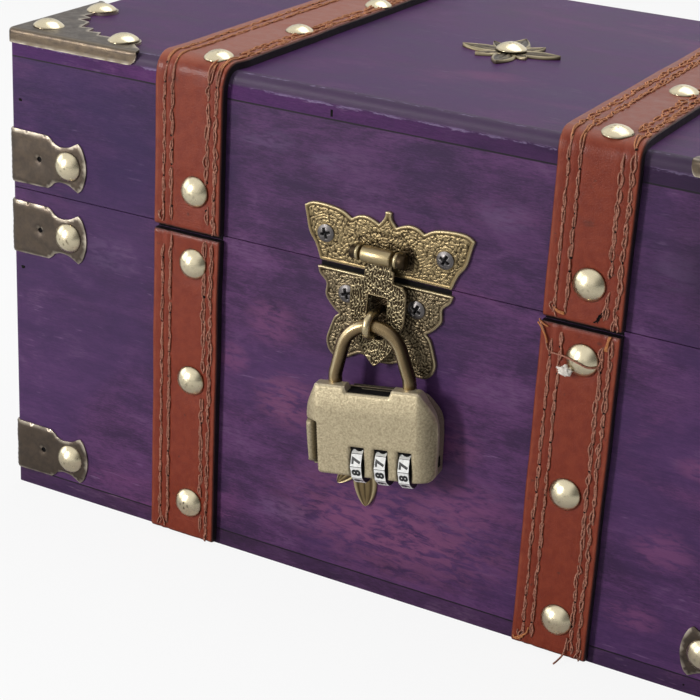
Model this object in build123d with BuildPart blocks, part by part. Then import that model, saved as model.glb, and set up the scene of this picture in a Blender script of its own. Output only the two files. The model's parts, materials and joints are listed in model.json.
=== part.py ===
# Treasure chest box: a stained wooden chest with a hinged lid, leather straps held by dome tacks,
# wrapped edge brackets, corner caps, a butterfly hasp and a three-dial padlock hung in its staple.
# Millimetres. The origin is the middle of the underside, X runs along the front, Y from the front
# to the back and Z up.
from build123d import *
import os
from math import asin, cos, pi, radians, sin, sqrt, tan

os.makedirs("parts", exist_ok=True)

# Boards
chest_width = 280.0
chest_depth = 172.0
chest_height = 165.0
parting_height = 111.0
lid_gap = 0.3
wall = 7.0
bottom_thick = 5.5
top_thick = 8.5
corner_radius = 1.2
top_edge_radius = 3.0

# Leather straps
strap_width = 25.0
strap_thick = 3.0
strap_spread_share = 0.488
strap_front_gap = 0.8
strap_back_gap = 2.6
strap_foot_gap = 1.0
strap_edge_radius = 0.6

# Dome tacks
tack_radius = 5.4
tack_height = 3.0
tack_sides = 10
tack_levels = ((1.0, 0.0), (0.8, 0.55), (0.3, 1.0))
lid_front_tack = 13.0
base_tack_drops = (10.8, 52.8, 97.4)
top_tack_shares = (0.025, 0.29, 0.59, 0.89)
left_front_shift = 2.7
right_front_shift = 1.4
left_top_shift = 7.0
right_top_shift = 3.0

# Edge brackets, wrapped round the upright corners
bracket_reach = 30.5
bracket_height = 18.5
bracket_thick = 0.8
bracket_tack = 23.3
lid_bracket_rise = 11.2
upper_bracket_drop = 13.5
lower_bracket_rise = 15.0
tail_shares = ((0.48, 0.96), (0.62, 0.67), (0.80, 0.72), (0.895, 0.92), (0.975, 0.46))

# Corner caps on the lid
cap_reach_share = 0.182
cap_thick = 0.8
cap_flange = 4.0
cap_tack_share = 0.176
cap_far_tack_share = 0.765
cap_lobe_radius = 7.0
cap_edge_shares = (
    (0.63, 0.16), (0.57, 0.145), (0.56, 0.185), (0.50, 0.18), (0.485, 0.225), (0.43, 0.225),
    (0.42, 0.275), (0.37, 0.275), (0.36, 0.33), (0.32, 0.32),
)
cap_end_share = 0.90

# Four-petal emblems
emblem_reach = 17.0
emblem_thick = 1.2
petal_half_width = 4.5
small_petal_reach = 12.6
small_petal_half_width = 2.4
emblem_turn = 7.0
lid_emblem_place = (4.0, 79.5)
front_emblem_shift = -4.1
front_emblem_drop = 48.8

# Butterfly hasp
hasp_shift = 2.8
plate_thick = 1.2
plate_gap = 1.8
lid_plate_half_width = 29.1
lid_plate_height = 20.1
base_plate_half_width = 23.4
base_plate_height = 29.2
lower_wing_shares = ((1.0, 0.02), (0.97, 0.10), (0.87, 0.18), (0.86, 0.29), (0.80, 0.38), (0.66, 0.50))
lobe_shares = ((0.66, 0.50), (0.75, 0.62), (0.81, 0.82), (0.76, 0.94), (0.60, 1.0))
hem_shares = ((0.60, 1.0), (0.42, 0.93), (0.30, 0.86), (0.0, 0.94))
upper_wing_shares = ((0.78, 0.0), (0.82, 0.15), (0.88, 0.30), (0.945, 0.44), (0.96, 0.62), (1.0, 0.835))
wing_top_shares = ((1.0, 0.835), (0.875, 0.90), (0.70, 0.91), (0.55, 0.86), (0.42, 0.776))
brow_shares = ((0.42, 0.776), (0.25, 0.856), (0.11, 0.78))
finial_shares = ((0.11, 0.78), (0.035, 0.92), (0.03, 0.985), (0.0, 1.0))
screw_radius = 2.8
screw_head = 1.1
screw_sides = 10
lid_screw_shares = (0.695, 0.46)
base_screw_shares = (0.53, 0.24)

# Hasp flap, its barrel and pin
barrel_radius = 2.4
barrel_length = 11.0
barrel_clearance = 0.5
ear_length = 2.2
ear_gap = 0.35
pin_radius = 1.0
pin_clearance = 0.06
pin_rise = 6.7
flap_thick = 1.0
flap_stand_off = 0.2
flap_half_width = 9.6
flap_length = 35.5
flap_neck_shares = ((0.51, 0.0), (0.51, 0.215), (0.88, 0.23))
flap_side_shares = ((0.88, 0.23), (0.99, 0.36), (0.96, 0.55), (0.56, 0.69), (0.63, 0.80), (0.40, 0.91), (0.0, 1.0))
slot_half_width = 3.5
slot_top_share = 0.355
slot_bottom_share = 0.81
bar_share = 0.597

# Staple on the base plate
staple_wire = 1.3
staple_stand_out = 8.1
eye_clearance = 0.3

# Padlock, measured in its own plane from the middle of the shackle's bar
lock_yaw = 7.5
lock_lean = 2.6
lock_roll = 5.5
shackle_wire = 1.9
shackle_spread = 24.4
shackle_splay = 16.0
shackle_neck_radius = 5.0
shackle_neck_rise = 2.2
shackle_clearance = 0.06
long_leg = 20.0
short_leg = 6.0
lock_top = 18.6
lock_height = 29.4
lock_half_width = 21.4
lock_top_half_width = 16.3
lock_shoulder_drop = 10.0
lock_foot_half_width = 20.4
lock_corner_radius = 2.6
lock_thick = 12.0
lock_face_half_width = 17.0
lock_bevel_depth = 3.2
lock_bevel_radius = 1.6
notch_half_width = 8.0
notch_depth = 1.9
notch_slope = 0.8
grip_top_drop = 13.5
grip_foot_rise = 2.2
grip_depth = 1.1
grip_width = 3.6
dial_count = 3
dial_radius = 6.8
dial_faces = 10
dial_rest_turn = 14.3
dial_width = 3.6
dial_pitch = 7.8
dial_first = -3.5
dial_drop = 26.0
dial_proud = 0.3
dial_side_gap = 0.4
dial_pocket_gap = 0.65
spindle_radius = 1.2
spindle_reach = 4.0
spindle_clearance = 0.03

# Butt hinges on the back
hinge_spread_share = 0.243
hinge_width = 30.0
hinge_height = 13.0
hinge_leaf = 1.2
knuckle_radius = 2.4
knuckle_clearance = 0.1
knuckle_gap = 0.25
hinge_pin_radius = 1.1
hinge_pin_clearance = 0.05
hinge_screw_radius = 2.2
hinge_screw_head = 0.8
hinge_screw_share = 0.30
hinge_corner_radius = 1.5

overrun = 5.0

# Places worked out from the sizes above
front_y = -chest_depth / 2
back_y = chest_depth / 2
right_x = chest_width / 2
lid_bottom = parting_height + lid_gap
rail_top = chest_height - top_thick
pin_height = lid_bottom + pin_rise
bar_height = pin_height - flap_length * bar_share
slot_top = flap_length * slot_top_share
slot_bottom = flap_length * slot_bottom_share
front_emblem_place = (hasp_shift + front_emblem_shift, bar_height - front_emblem_drop)
strap_centre = chest_width * strap_spread_share / 2
front_face = Plane(origin=(0, front_y, 0), x_dir=(1, 0, 0), z_dir=(0, -1, 0))
back_face = Plane(origin=(0, back_y, 0), x_dir=(-1, 0, 0), z_dir=(0, 1, 0))
left_face = Plane(origin=(-right_x, 0, 0), x_dir=(0, -1, 0), z_dir=(-1, 0, 0))
right_face = Plane(origin=(right_x, 0, 0), x_dir=(0, 1, 0), z_dir=(1, 0, 0))
top_face = Plane.XY.offset(chest_height)


def seat(face, across, up, lift=0):
    """A place on a face of the chest, lifted off it, with its own Z pointing outwards."""
    return Plane(face.offset(lift).from_local_coords((across, up)), x_dir=face.x_dir, z_dir=face.z_dir)


def write(piece, name):
    """Labels a finished piece and writes its file."""
    piece.part.label = name
    export_step(piece.part, "parts/" + name + ".step")


def scaled(shares, width, height):
    """Points of an outline, given as shares of a half width and a height."""
    return [(across * width, up * height) for across, up in shares]


# Bottom board
with BuildPart() as bottom_board:
    with BuildSketch():
        Rectangle(chest_width, chest_depth)
    extrude(amount=bottom_thick)
    fillet(bottom_board.edges().filter_by(Axis.Z), radius=corner_radius)
write(bottom_board, "bottom_board")


def long_board(face, low, high):
    """A front or back board, whose two outer upright edges are rounded."""
    with BuildPart() as board:
        with BuildSketch(face):
            with Locations((0, (low + high) / 2)):
                Rectangle(chest_width, high - low)
        extrude(amount=-wall)
        outer_edges = board.edges().filter_by(Axis.Z).group_by(SortBy.DISTANCE)[-1]
        fillet(outer_edges, radius=corner_radius)
    return board


def end_board(face, low, high):
    """A left or right board, held between the front and back boards."""
    with BuildPart() as board:
        with BuildSketch(face):
            with Locations((0, (low + high) / 2)):
                Rectangle(chest_depth - 2 * wall, high - low)
        extrude(amount=-wall)
    return board


write(long_board(front_face, bottom_thick, parting_height), "base_front_panel")
write(long_board(back_face, bottom_thick, parting_height), "base_back_panel")
write(end_board(left_face, bottom_thick, parting_height), "base_left_panel")
write(end_board(right_face, bottom_thick, parting_height), "base_right_panel")
write(long_board(front_face, lid_bottom, rail_top), "lid_front_rail")
write(long_board(back_face, lid_bottom, rail_top), "lid_back_rail")
write(end_board(left_face, lid_bottom, rail_top), "lid_left_rail")
write(end_board(right_face, lid_bottom, rail_top), "lid_right_rail")

# Top board, with its upper edges rounded over
with BuildPart() as lid_top_board:
    with BuildSketch(Plane.XY.offset(rail_top)):
        Rectangle(chest_width, chest_depth)
    extrude(amount=top_thick)
    fillet(lid_top_board.edges().filter_by(Axis.Z), radius=corner_radius)
    fillet(lid_top_board.faces().sort_by(Axis.Z)[-1].edges(), radius=top_edge_radius)
write(lid_top_board, "lid_top_board")


def base_strap(face, across, end_gap):
    """An upright strap on the front or back of the base, its outer edges eased."""
    low = strap_foot_gap
    high = parting_height - end_gap
    with BuildPart() as strap:
        with BuildSketch(face):
            with Locations((across, (low + high) / 2)):
                Rectangle(strap_width, high - low)
        extrude(amount=strap_thick)
        outer_edges = strap.faces().sort_by(Axis.Y)[0 if face is front_face else -1].edges()
        fillet(outer_edges.filter_by(Axis.Z), radius=strap_edge_radius)
    return strap


write(base_strap(front_face, -strap_centre, strap_front_gap), "base_strap_front_left")
write(base_strap(front_face, strap_centre, strap_front_gap), "base_strap_front_right")
write(base_strap(back_face, strap_centre, strap_back_gap), "base_strap_back_left")
write(base_strap(back_face, -strap_centre, strap_back_gap), "base_strap_back_right")


def lid_strap(across):
    """A strap that runs up the lid's front, over the rounded top and down its back."""
    outer_high = chest_height + strap_thick
    front_end = lid_bottom + strap_front_gap
    back_end = lid_bottom + strap_back_gap
    with BuildPart() as strap:
        with BuildSketch(Plane.YZ.offset(across)):
            with BuildLine():
                outer = FilletPolyline(
                    (front_y - strap_thick, front_end),
                    (front_y - strap_thick, outer_high),
                    (back_y + strap_thick, outer_high),
                    (back_y + strap_thick, back_end),
                    radius=top_edge_radius + strap_thick,
                )
                inner = FilletPolyline(
                    (front_y, front_end),
                    (front_y, chest_height),
                    (back_y, chest_height),
                    (back_y, back_end),
                    radius=top_edge_radius,
                )
                Line(outer @ 0, inner @ 0)
                Line(outer @ 1, inner @ 1)
            make_face()
        extrude(amount=strap_width / 2, both=True)
    return strap


write(lid_strap(-strap_centre), "lid_strap_left")
write(lid_strap(strap_centre), "lid_strap_right")

# One dome tack, standing on the XY plane: three many-sided levels stand for the dome, because it repeats
with BuildPart() as dome_tack:
    for across_share, up_share in tack_levels:
        with BuildSketch(Plane.XY.offset(tack_height * up_share)):
            RegularPolygon(tack_radius * across_share, tack_sides)
    loft(ruled=True)


def tack_group(seats):
    """A group of dome tacks, one on each seat."""
    with BuildPart() as tacks:
        with Locations(*seats):
            add(dome_tack.part)
    return tacks


# Strap tacks
front_columns = (-strap_centre + left_front_shift, strap_centre + right_front_shift)
top_columns = (-strap_centre + left_top_shift, strap_centre + right_top_shift)
top_tack_places = [share * chest_depth for share in top_tack_shares]
base_tack_heights = [parting_height - drop for drop in base_tack_drops]
lid_tack_height = lid_bottom + lid_front_tack
base_tack_seats = [seat(front_face, x, z, strap_thick) for x in front_columns for z in base_tack_heights]
base_tack_seats += [seat(back_face, x, z, strap_thick) for x in (-strap_centre, strap_centre) for z in base_tack_heights]
base_tack_seats.append(seat(front_face, *front_emblem_place, emblem_thick))
write(tack_group(base_tack_seats), "base_strap_tacks")
lid_tack_seats = [seat(front_face, x, lid_tack_height, strap_thick) for x in front_columns]
lid_tack_seats += [seat(back_face, x, lid_tack_height, strap_thick) for x in (-strap_centre, strap_centre)]
lid_tack_seats += [seat(top_face, x, front_y + y, strap_thick) for x in top_columns for y in top_tack_places]
lid_tack_seats.append(seat(top_face, lid_emblem_place[0], front_y + lid_emblem_place[1], emblem_thick))
write(tack_group(lid_tack_seats), "lid_strap_tacks")

# One edge bracket at the left front corner, its middle at height 0: a lobe on each face with a drawn-in
# neck and a fish-tail end, joined round the rounded corner
half_bracket = bracket_height / 2
(neck_start, neck_middle, neck_end, tail_tip, tail_middle) = scaled(tail_shares, bracket_reach, half_bracket)


def bracket_lobe(plane):
    """A lobe on a plane whose X runs away from the corner, mirrored about its middle line."""
    with BuildSketch(plane) as lobe:
        with BuildLine():
            Polyline((corner_radius, 0), (corner_radius, half_bracket), neck_start, neck_middle, neck_end, tail_tip)
            ThreePointArc(tail_tip, tail_middle, (bracket_reach, 0))
            mirror(about=Plane.XZ)
        make_face()
    return lobe.sketch


front_lobe_plane = Plane(origin=(-right_x, front_y, 0), x_dir=(1, 0, 0), z_dir=(0, -1, 0))
side_lobe_plane = Plane(origin=(-right_x, front_y, 0), x_dir=(0, 1, 0), z_dir=(1, 0, 0))
with BuildPart() as edge_bracket:
    extrude(bracket_lobe(front_lobe_plane), amount=bracket_thick)
    extrude(bracket_lobe(side_lobe_plane), amount=-bracket_thick)
    with BuildSketch(Plane.XY.offset(-half_bracket)):
        with Locations((-right_x + corner_radius, front_y + corner_radius)):
            Circle(corner_radius + bracket_thick)
            Circle(corner_radius, mode=Mode.SUBTRACT)
            Rectangle(overrun, overrun, align=(Align.MIN, Align.CENTER), mode=Mode.SUBTRACT)
            Rectangle(overrun, overrun, align=(Align.CENTER, Align.MIN), mode=Mode.SUBTRACT)
    extrude(amount=bracket_height)

bracket_heights = {
    "base_lower_bracket": lower_bracket_rise,
    "base_upper_bracket": parting_height - upper_bracket_drop,
    "lid_bracket": lid_bottom + lid_bracket_rise,
}
corners = {
    "front_left": (False, False),
    "front_right": (True, False),
    "back_left": (False, True),
    "back_right": (True, True),
}


def at_corner(piece, name, to_right, to_back, height):
    """Carries a piece made at the left front corner to another corner and height, and writes it."""
    with BuildPart() as placed:
        shape = piece.part.moved(Location((0, 0, height)))
        if to_right:
            shape = shape.mirror(Plane.YZ)
        if to_back:
            shape = shape.mirror(Plane.XZ)
        add(shape)
    write(placed, name)


for level, height in bracket_heights.items():
    for corner, (to_right, to_back) in corners.items():
        at_corner(edge_bracket, level + "_" + corner, to_right, to_back, height)


def bracket_tack_seats(height):
    """Seats on both lobes of the four brackets at one height."""
    along = right_x - bracket_tack
    deep = back_y - bracket_tack
    seats = [seat(face, x, height, bracket_thick) for face in (front_face, back_face) for x in (-along, along)]
    seats += [seat(face, y, height, bracket_thick) for face in (left_face, right_face) for y in (-deep, deep)]
    return seats


base_bracket_seats = bracket_tack_seats(bracket_heights["base_lower_bracket"])
base_bracket_seats += bracket_tack_seats(bracket_heights["base_upper_bracket"])
write(tack_group(base_bracket_seats), "base_bracket_tacks")

# One corner cap at the left front corner: a skin over the board's rounded corner, kept inside a
# serrated outline on the top and two narrow flanges on the faces
cap_reach = chest_width * cap_reach_share
cap_tack = cap_reach * cap_tack_share
cap_far_tack = cap_reach * cap_far_tack_share
cap_edge = scaled(cap_edge_shares, cap_reach, cap_reach)
cap_end = cap_reach * cap_end_share
cap_corner = Plane(origin=(-right_x, front_y, chest_height), x_dir=(1, 0, 0), z_dir=(0, 0, 1))


def rounded_board(grow):
    """The top board's outer shape, grown outwards by a thickness."""
    with BuildPart() as block:
        with BuildSketch(Plane.XY.offset(rail_top)):
            Rectangle(chest_width + 2 * grow, chest_depth + 2 * grow)
        extrude(amount=top_thick + grow)
        fillet(block.edges().filter_by(Axis.Z), radius=corner_radius + grow)
        fillet(block.faces().sort_by(Axis.Z)[-1].edges(), radius=top_edge_radius + grow)
    return block.part


with BuildPart() as cap_room:
    with BuildSketch(cap_corner.offset(-top_edge_radius)):
        with BuildLine():
            near = -cap_thick * 2
            Polyline(
                (near, near),
                (cap_reach, near),
                (cap_reach, top_edge_radius),
                *cap_edge,
                *[(up, across) for across, up in reversed(cap_edge[:-1])],
                (top_edge_radius, cap_reach),
                (near, cap_reach),
                close=True,
            )
        make_face()
        with Locations((cap_far_tack, cap_tack), (cap_tack, cap_far_tack)):
            RegularPolygon(cap_lobe_radius, tack_sides)
    extrude(amount=top_edge_radius + 2 * cap_thick)
    for flange_plane in (
        Plane(origin=(-right_x, front_y, chest_height), x_dir=(1, 0, 0), z_dir=(0, -1, 0)),
        Plane(origin=(-right_x, front_y, chest_height), x_dir=(0, 1, 0), z_dir=(1, 0, 0)),
    ):
        with BuildSketch(flange_plane):
            with BuildLine():
                Polyline(
                    (near, 0),
                    (near, -cap_flange),
                    (cap_end, -cap_flange),
                    (cap_reach, 0),
                    close=True,
                )
            make_face()
        extrude(amount=top_edge_radius, both=True)

with BuildPart() as corner_cap:
    add(rounded_board(cap_thick))
    add(rounded_board(0), mode=Mode.SUBTRACT)
    add(cap_room.part, mode=Mode.INTERSECT)

for corner, (to_right, to_back) in corners.items():
    at_corner(corner_cap, "lid_corner_cap_" + corner, to_right, to_back, 0)

cap_places = ((cap_tack, cap_tack), (cap_far_tack, cap_tack), (cap_tack, cap_far_tack))
lid_bracket_seats = bracket_tack_seats(bracket_heights["lid_bracket"])
for x_sign in (-1, 1):
    for y_sign in (-1, 1):
        for along, deep in cap_places:
            lid_bracket_seats.append(
                seat(top_face, x_sign * (right_x - along), y_sign * (back_y - deep), cap_thick)
            )
write(tack_group(lid_bracket_seats), "lid_bracket_tacks")


def petal(reach, half_width):
    """A pointed leaf from the middle outwards, drawn by two arcs."""
    with BuildSketch() as leaf:
        with BuildLine():
            ThreePointArc((0, 0), (reach / 2, half_width), (reach, 0))
            ThreePointArc((reach, 0), (reach / 2, -half_width), (0, 0))
        make_face()
    return leaf.sketch


def emblem(plane):
    """A flower plate of four long petals with a short one between each pair."""
    with BuildPart() as flower:
        with BuildSketch(plane):
            with PolarLocations(0, 4, start_angle=emblem_turn):
                add(petal(emblem_reach, petal_half_width))
            with PolarLocations(0, 4, start_angle=emblem_turn + 45):
                add(petal(small_petal_reach, small_petal_half_width))
            RegularPolygon(tack_radius, tack_sides)
        extrude(amount=emblem_thick)
    return flower


write(emblem(seat(top_face, lid_emblem_place[0], front_y + lid_emblem_place[1])), "lid_emblem")
write(emblem(seat(front_face, *front_emblem_place)), "front_emblem")

# Butterfly hasp: upper wings on the lid, with two ears that carry the pin
lid_plate_plane = seat(front_face, hasp_shift, lid_bottom)
barrel_out = plate_thick + barrel_clearance + barrel_radius
pin_axis = Plane(origin=(hasp_shift, front_y - barrel_out, pin_height), x_dir=(0, 0, 1), z_dir=(1, 0, 0))
lid_screws = [(side * lid_screw_shares[0] * lid_plate_half_width, lid_screw_shares[1] * lid_plate_height)
              for side in (-1, 1)]
with BuildPart() as hasp_lid_plate:
    with BuildSketch(lid_plate_plane):
        with BuildLine():
            Line((0, 0), scaled(upper_wing_shares, lid_plate_half_width, lid_plate_height)[0])
            Spline(*scaled(upper_wing_shares, lid_plate_half_width, lid_plate_height))
            Spline(*scaled(wing_top_shares, lid_plate_half_width, lid_plate_height))
            ThreePointArc(*scaled(brow_shares, lid_plate_half_width, lid_plate_height))
            Polyline(*scaled(finial_shares, lid_plate_half_width, lid_plate_height))
            mirror(about=Plane.YZ)
        make_face()
    extrude(amount=plate_thick)
    for side in (-1, 1):
        ear_start = side * (barrel_length / 2 + ear_gap)
        with BuildSketch(pin_axis.offset(ear_start)):
            Circle(barrel_radius)
            Rectangle(2 * barrel_radius, barrel_out, align=(Align.CENTER, Align.MAX))
            Circle(pin_radius + pin_clearance, mode=Mode.SUBTRACT)
        extrude(amount=side * ear_length)
write(hasp_lid_plate, "hasp_lid_plate")

with BuildPart() as hasp_pin:
    with BuildSketch(pin_axis):
        Circle(pin_radius)
    extrude(amount=barrel_length / 2 + ear_gap + ear_length, both=True)
write(hasp_pin, "hasp_pin")


def screw_heads(seats, radius, height):
    """Low domed screw heads, one on each seat."""
    with BuildPart() as heads:
        for place in seats:
            with BuildSketch(place):
                RegularPolygon(radius, screw_sides)
            extrude(amount=height, taper=35)
    return heads


write(
    screw_heads([seat(lid_plate_plane, x, z, plate_thick) for x, z in lid_screws], screw_radius, screw_head),
    "hasp_lid_screws",
)

# Lower wings on the base, hanging from their straight upper edge
base_plate_top = parting_height - plate_gap + lid_gap
base_plate_plane = Plane(
    origin=(hasp_shift, front_y, base_plate_top), x_dir=(-1, 0, 0), z_dir=(0, -1, 0)
)
base_screws = [(side * base_screw_shares[0] * base_plate_half_width, base_screw_shares[1] * base_plate_height)
               for side in (-1, 1)]
with BuildPart() as hasp_base_plate:
    with BuildSketch(base_plate_plane):
        with BuildLine():
            Line((0, 0), scaled(lower_wing_shares, base_plate_half_width, base_plate_height)[0])
            Spline(*scaled(lower_wing_shares, base_plate_half_width, base_plate_height))
            Spline(*scaled(lobe_shares, base_plate_half_width, base_plate_height))
            Spline(*scaled(hem_shares, base_plate_half_width, base_plate_height))
            mirror(about=Plane.YZ)
        make_face()
    extrude(amount=plate_thick)
write(hasp_base_plate, "hasp_base_plate")
write(
    screw_heads([seat(base_plate_plane, x, z, plate_thick) for x, z in base_screws], screw_radius, screw_head),
    "hasp_base_screws",
)

# Staple: a wire loop that stands out of the base plate, with the shackle's bar in its round end
loop_radius = shackle_wire + eye_clearance + staple_wire
loop_middle = bar_height + eye_clearance - shackle_clearance
loop_plane = Plane.YZ.offset(hasp_shift)
staple_foot = front_y - plate_thick
loop_centre = front_y - staple_stand_out
with BuildPart() as hasp_staple:
    with BuildLine(loop_plane) as loop:
        Line((staple_foot, loop_middle - loop_radius), (loop_centre, loop_middle - loop_radius))
        ThreePointArc(
            (loop_centre, loop_middle - loop_radius),
            (loop_centre - loop_radius, loop_middle),
            (loop_centre, loop_middle + loop_radius),
        )
        Line((loop_centre, loop_middle + loop_radius), (staple_foot, loop_middle + loop_radius))
    with BuildSketch(Plane(origin=(hasp_shift, staple_foot, loop_middle - loop_radius), z_dir=(0, -1, 0))):
        Circle(staple_wire)
    sweep()
write(hasp_staple, "hasp_staple")

# Flap: a barrel on the pin and a slotted tongue that ends in a heart
flap_plane = Plane(
    origin=(hasp_shift, front_y - barrel_out - flap_stand_off, pin_height),
    x_dir=(-1, 0, 0),
    z_dir=(0, -1, 0),
)
with BuildPart() as hasp_flap:
    with BuildSketch(flap_plane):
        with BuildLine():
            Line((0, 0), scaled(flap_neck_shares, flap_half_width, flap_length)[0])
            Polyline(*scaled(flap_neck_shares, flap_half_width, flap_length))
            Spline(*scaled(flap_side_shares, flap_half_width, flap_length))
            mirror(about=Plane.YZ)
        make_face()
        with Locations((0, (slot_top + slot_bottom) / 2)):
            RectangleRounded(2 * slot_half_width, slot_bottom - slot_top, slot_half_width / 3, mode=Mode.SUBTRACT)
    extrude(amount=flap_thick)
    with BuildSketch(pin_axis):
        Circle(barrel_radius)
    extrude(amount=barrel_length / 2, both=True)
    with BuildSketch(pin_axis):
        Circle(pin_radius + pin_clearance)
    extrude(amount=barrel_length, both=True, mode=Mode.SUBTRACT)
write(hasp_flap, "hasp_flap")

# Padlock plane: turned towards the right, its foot leaning out, and turned a little on the staple
yaw = radians(lock_yaw)
lean = radians(lock_lean)
roll = radians(lock_roll)
level_right = Vector(cos(yaw), sin(yaw), 0)
level_front = Vector(sin(yaw), -cos(yaw), 0)
lean_up = Vector(0, 0, 1) * cos(lean) - level_front * sin(lean)
lock_front = level_front * cos(lean) + Vector(0, 0, 1) * sin(lean)
lock_right = level_right * cos(roll) + lean_up * sin(roll)
lock = Plane(origin=(hasp_shift, front_y - staple_stand_out, bar_height), x_dir=lock_right, z_dir=lock_front)

# Shackle: a splayed arch whose two legs turn straight before they enter the body
half_spread = shackle_spread / 2
neck_level = -lock_top + shackle_neck_rise
splay = radians(shackle_splay)
arch_peak = neck_level + half_spread / tan(splay)
arch_radius = arch_peak / (1 / sin(splay) - 1)
with BuildPart() as padlock_shackle:
    with BuildLine(lock):
        FilletPolyline(
            (-half_spread, -lock_top - long_leg),
            (-half_spread, neck_level),
            (0, arch_peak),
            (half_spread, neck_level),
            (half_spread, -lock_top - short_leg),
            radius=[shackle_neck_radius, arch_radius, shackle_neck_radius],
        )
    with BuildSketch(
        Plane(origin=lock.from_local_coords((-half_spread, -lock_top - long_leg)), z_dir=lock.y_dir)
    ):
        Circle(shackle_wire)
    sweep()
write(padlock_shackle, "padlock_shackle")

# Padlock body: the front outline and the rounded plan meet in one block, which is split down the
# middle of its thickness into a front and a back shell
lock_foot = -lock_top - lock_height
half_thick = lock_thick / 2
leg_room = shackle_wire + shackle_clearance
dial_middle = -lock_top - dial_drop
dial_places = [dial_first + dial_pitch * number for number in range(dial_count)]
spindle_from = dial_places[0] - dial_width / 2 - spindle_reach
spindle_to = dial_places[-1] + dial_width / 2 + spindle_reach
spindle_plane = Plane(
    origin=lock.from_local_coords((0, dial_middle, dial_proud)), x_dir=lock.z_dir, z_dir=lock.x_dir
)
with BuildPart() as lock_block:
    with BuildSketch(lock) as outline:
        with BuildLine():
            Polyline(
                (-lock_top_half_width, -lock_top),
                (-notch_half_width, -lock_top),
                (-notch_half_width + notch_slope, -lock_top - notch_depth),
                (notch_half_width - notch_slope, -lock_top - notch_depth),
                (notch_half_width, -lock_top),
                (lock_top_half_width, -lock_top),
                (lock_half_width, -lock_top - lock_shoulder_drop),
                (lock_foot_half_width, lock_foot),
                (-lock_foot_half_width, lock_foot),
                (-lock_half_width, -lock_top - lock_shoulder_drop),
                close=True,
            )
        make_face()
    extrude(amount=half_thick, both=True)
    upright_edges = lock_block.edges().filter_by(lambda edge: abs(edge.tangent_at(0).dot(lock.z_dir)) > cos(pi / 8))
    round_edges = upright_edges.filter_by(
        lambda edge: abs(lock.to_local_coords(edge.center()).X) > lock_top_half_width - notch_slope
    )
    fillet(round_edges, radius=lock_corner_radius)
    with BuildSketch(Plane(origin=lock.origin, x_dir=lock.x_dir, z_dir=lock.y_dir)) as plan:
        with BuildLine():
            Polyline(
                (-lock_half_width, -half_thick + lock_bevel_depth),
                (-lock_face_half_width, -half_thick),
                (lock_face_half_width, -half_thick),
                (lock_half_width, -half_thick + lock_bevel_depth),
                (lock_half_width, half_thick - lock_bevel_depth),
                (lock_face_half_width, half_thick),
                (-lock_face_half_width, half_thick),
                (-lock_half_width, half_thick - lock_bevel_depth),
                close=True,
            )
        make_face()
        fillet(plan.vertices(), radius=lock_bevel_radius)
    extrude(amount=-(lock_top + lock_height + overrun), mode=Mode.INTERSECT)
    with BuildSketch(lock.offset(half_thick)):
        with Locations((-lock_half_width, (-lock_top - grip_top_drop + lock_foot + grip_foot_rise) / 2)):
            Rectangle(
                2 * grip_width, lock_height - grip_top_drop - grip_foot_rise
            )
    extrude(amount=-lock_bevel_depth - grip_depth, mode=Mode.SUBTRACT)
    with BuildSketch(Plane(origin=lock.from_local_coords((0, -lock_top)), x_dir=lock.x_dir, z_dir=lock.y_dir)):
        with Locations((-half_spread, 0)):
            Circle(leg_room)
    extrude(amount=-long_leg - shackle_clearance, mode=Mode.SUBTRACT)
    with BuildSketch(Plane(origin=lock.from_local_coords((0, -lock_top)), x_dir=lock.x_dir, z_dir=lock.y_dir)):
        with Locations((half_spread, 0)):
            Circle(leg_room)
    extrude(amount=-short_leg - shackle_clearance, mode=Mode.SUBTRACT)
    for place in dial_places:
        with BuildSketch(spindle_plane.offset(place)):
            Circle(dial_radius + dial_pocket_gap)
        extrude(amount=dial_width / 2 + dial_side_gap, both=True, mode=Mode.SUBTRACT)
    with BuildSketch(spindle_plane.offset(spindle_from)):
        Circle(spindle_radius + spindle_clearance)
    extrude(amount=spindle_to - spindle_from, mode=Mode.SUBTRACT)

for name, kept in (("padlock_front_shell", Keep.TOP), ("padlock_back_shell", Keep.BOTTOM)):
    with BuildPart() as shell:
        add(lock_block.part)
        split(bisect_by=lock, keep=kept)
    write(shell, name)

with BuildPart() as padlock_spindle:
    with BuildSketch(spindle_plane.offset(spindle_from)):
        Circle(spindle_radius)
    extrude(amount=spindle_to - spindle_from)
write(padlock_spindle, "padlock_spindle")

for name, place in zip(("left", "middle", "right"), dial_places):
    with BuildPart() as dial:
        with BuildSketch(spindle_plane.offset(place)):
            RegularPolygon(dial_radius, dial_faces, rotation=180 / dial_faces + dial_rest_turn)
            Circle(spindle_radius + pin_clearance, mode=Mode.SUBTRACT)
        extrude(amount=dial_width / 2, both=True)
    write(dial, "padlock_dial_" + name)

# Butt hinges: the pin stands just clear of the back, half way up the gap under the lid
hinge_out = knuckle_radius + knuckle_clearance
hinge_line = parting_height + lid_gap / 2
knuckle_length = hinge_width / 3


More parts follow.
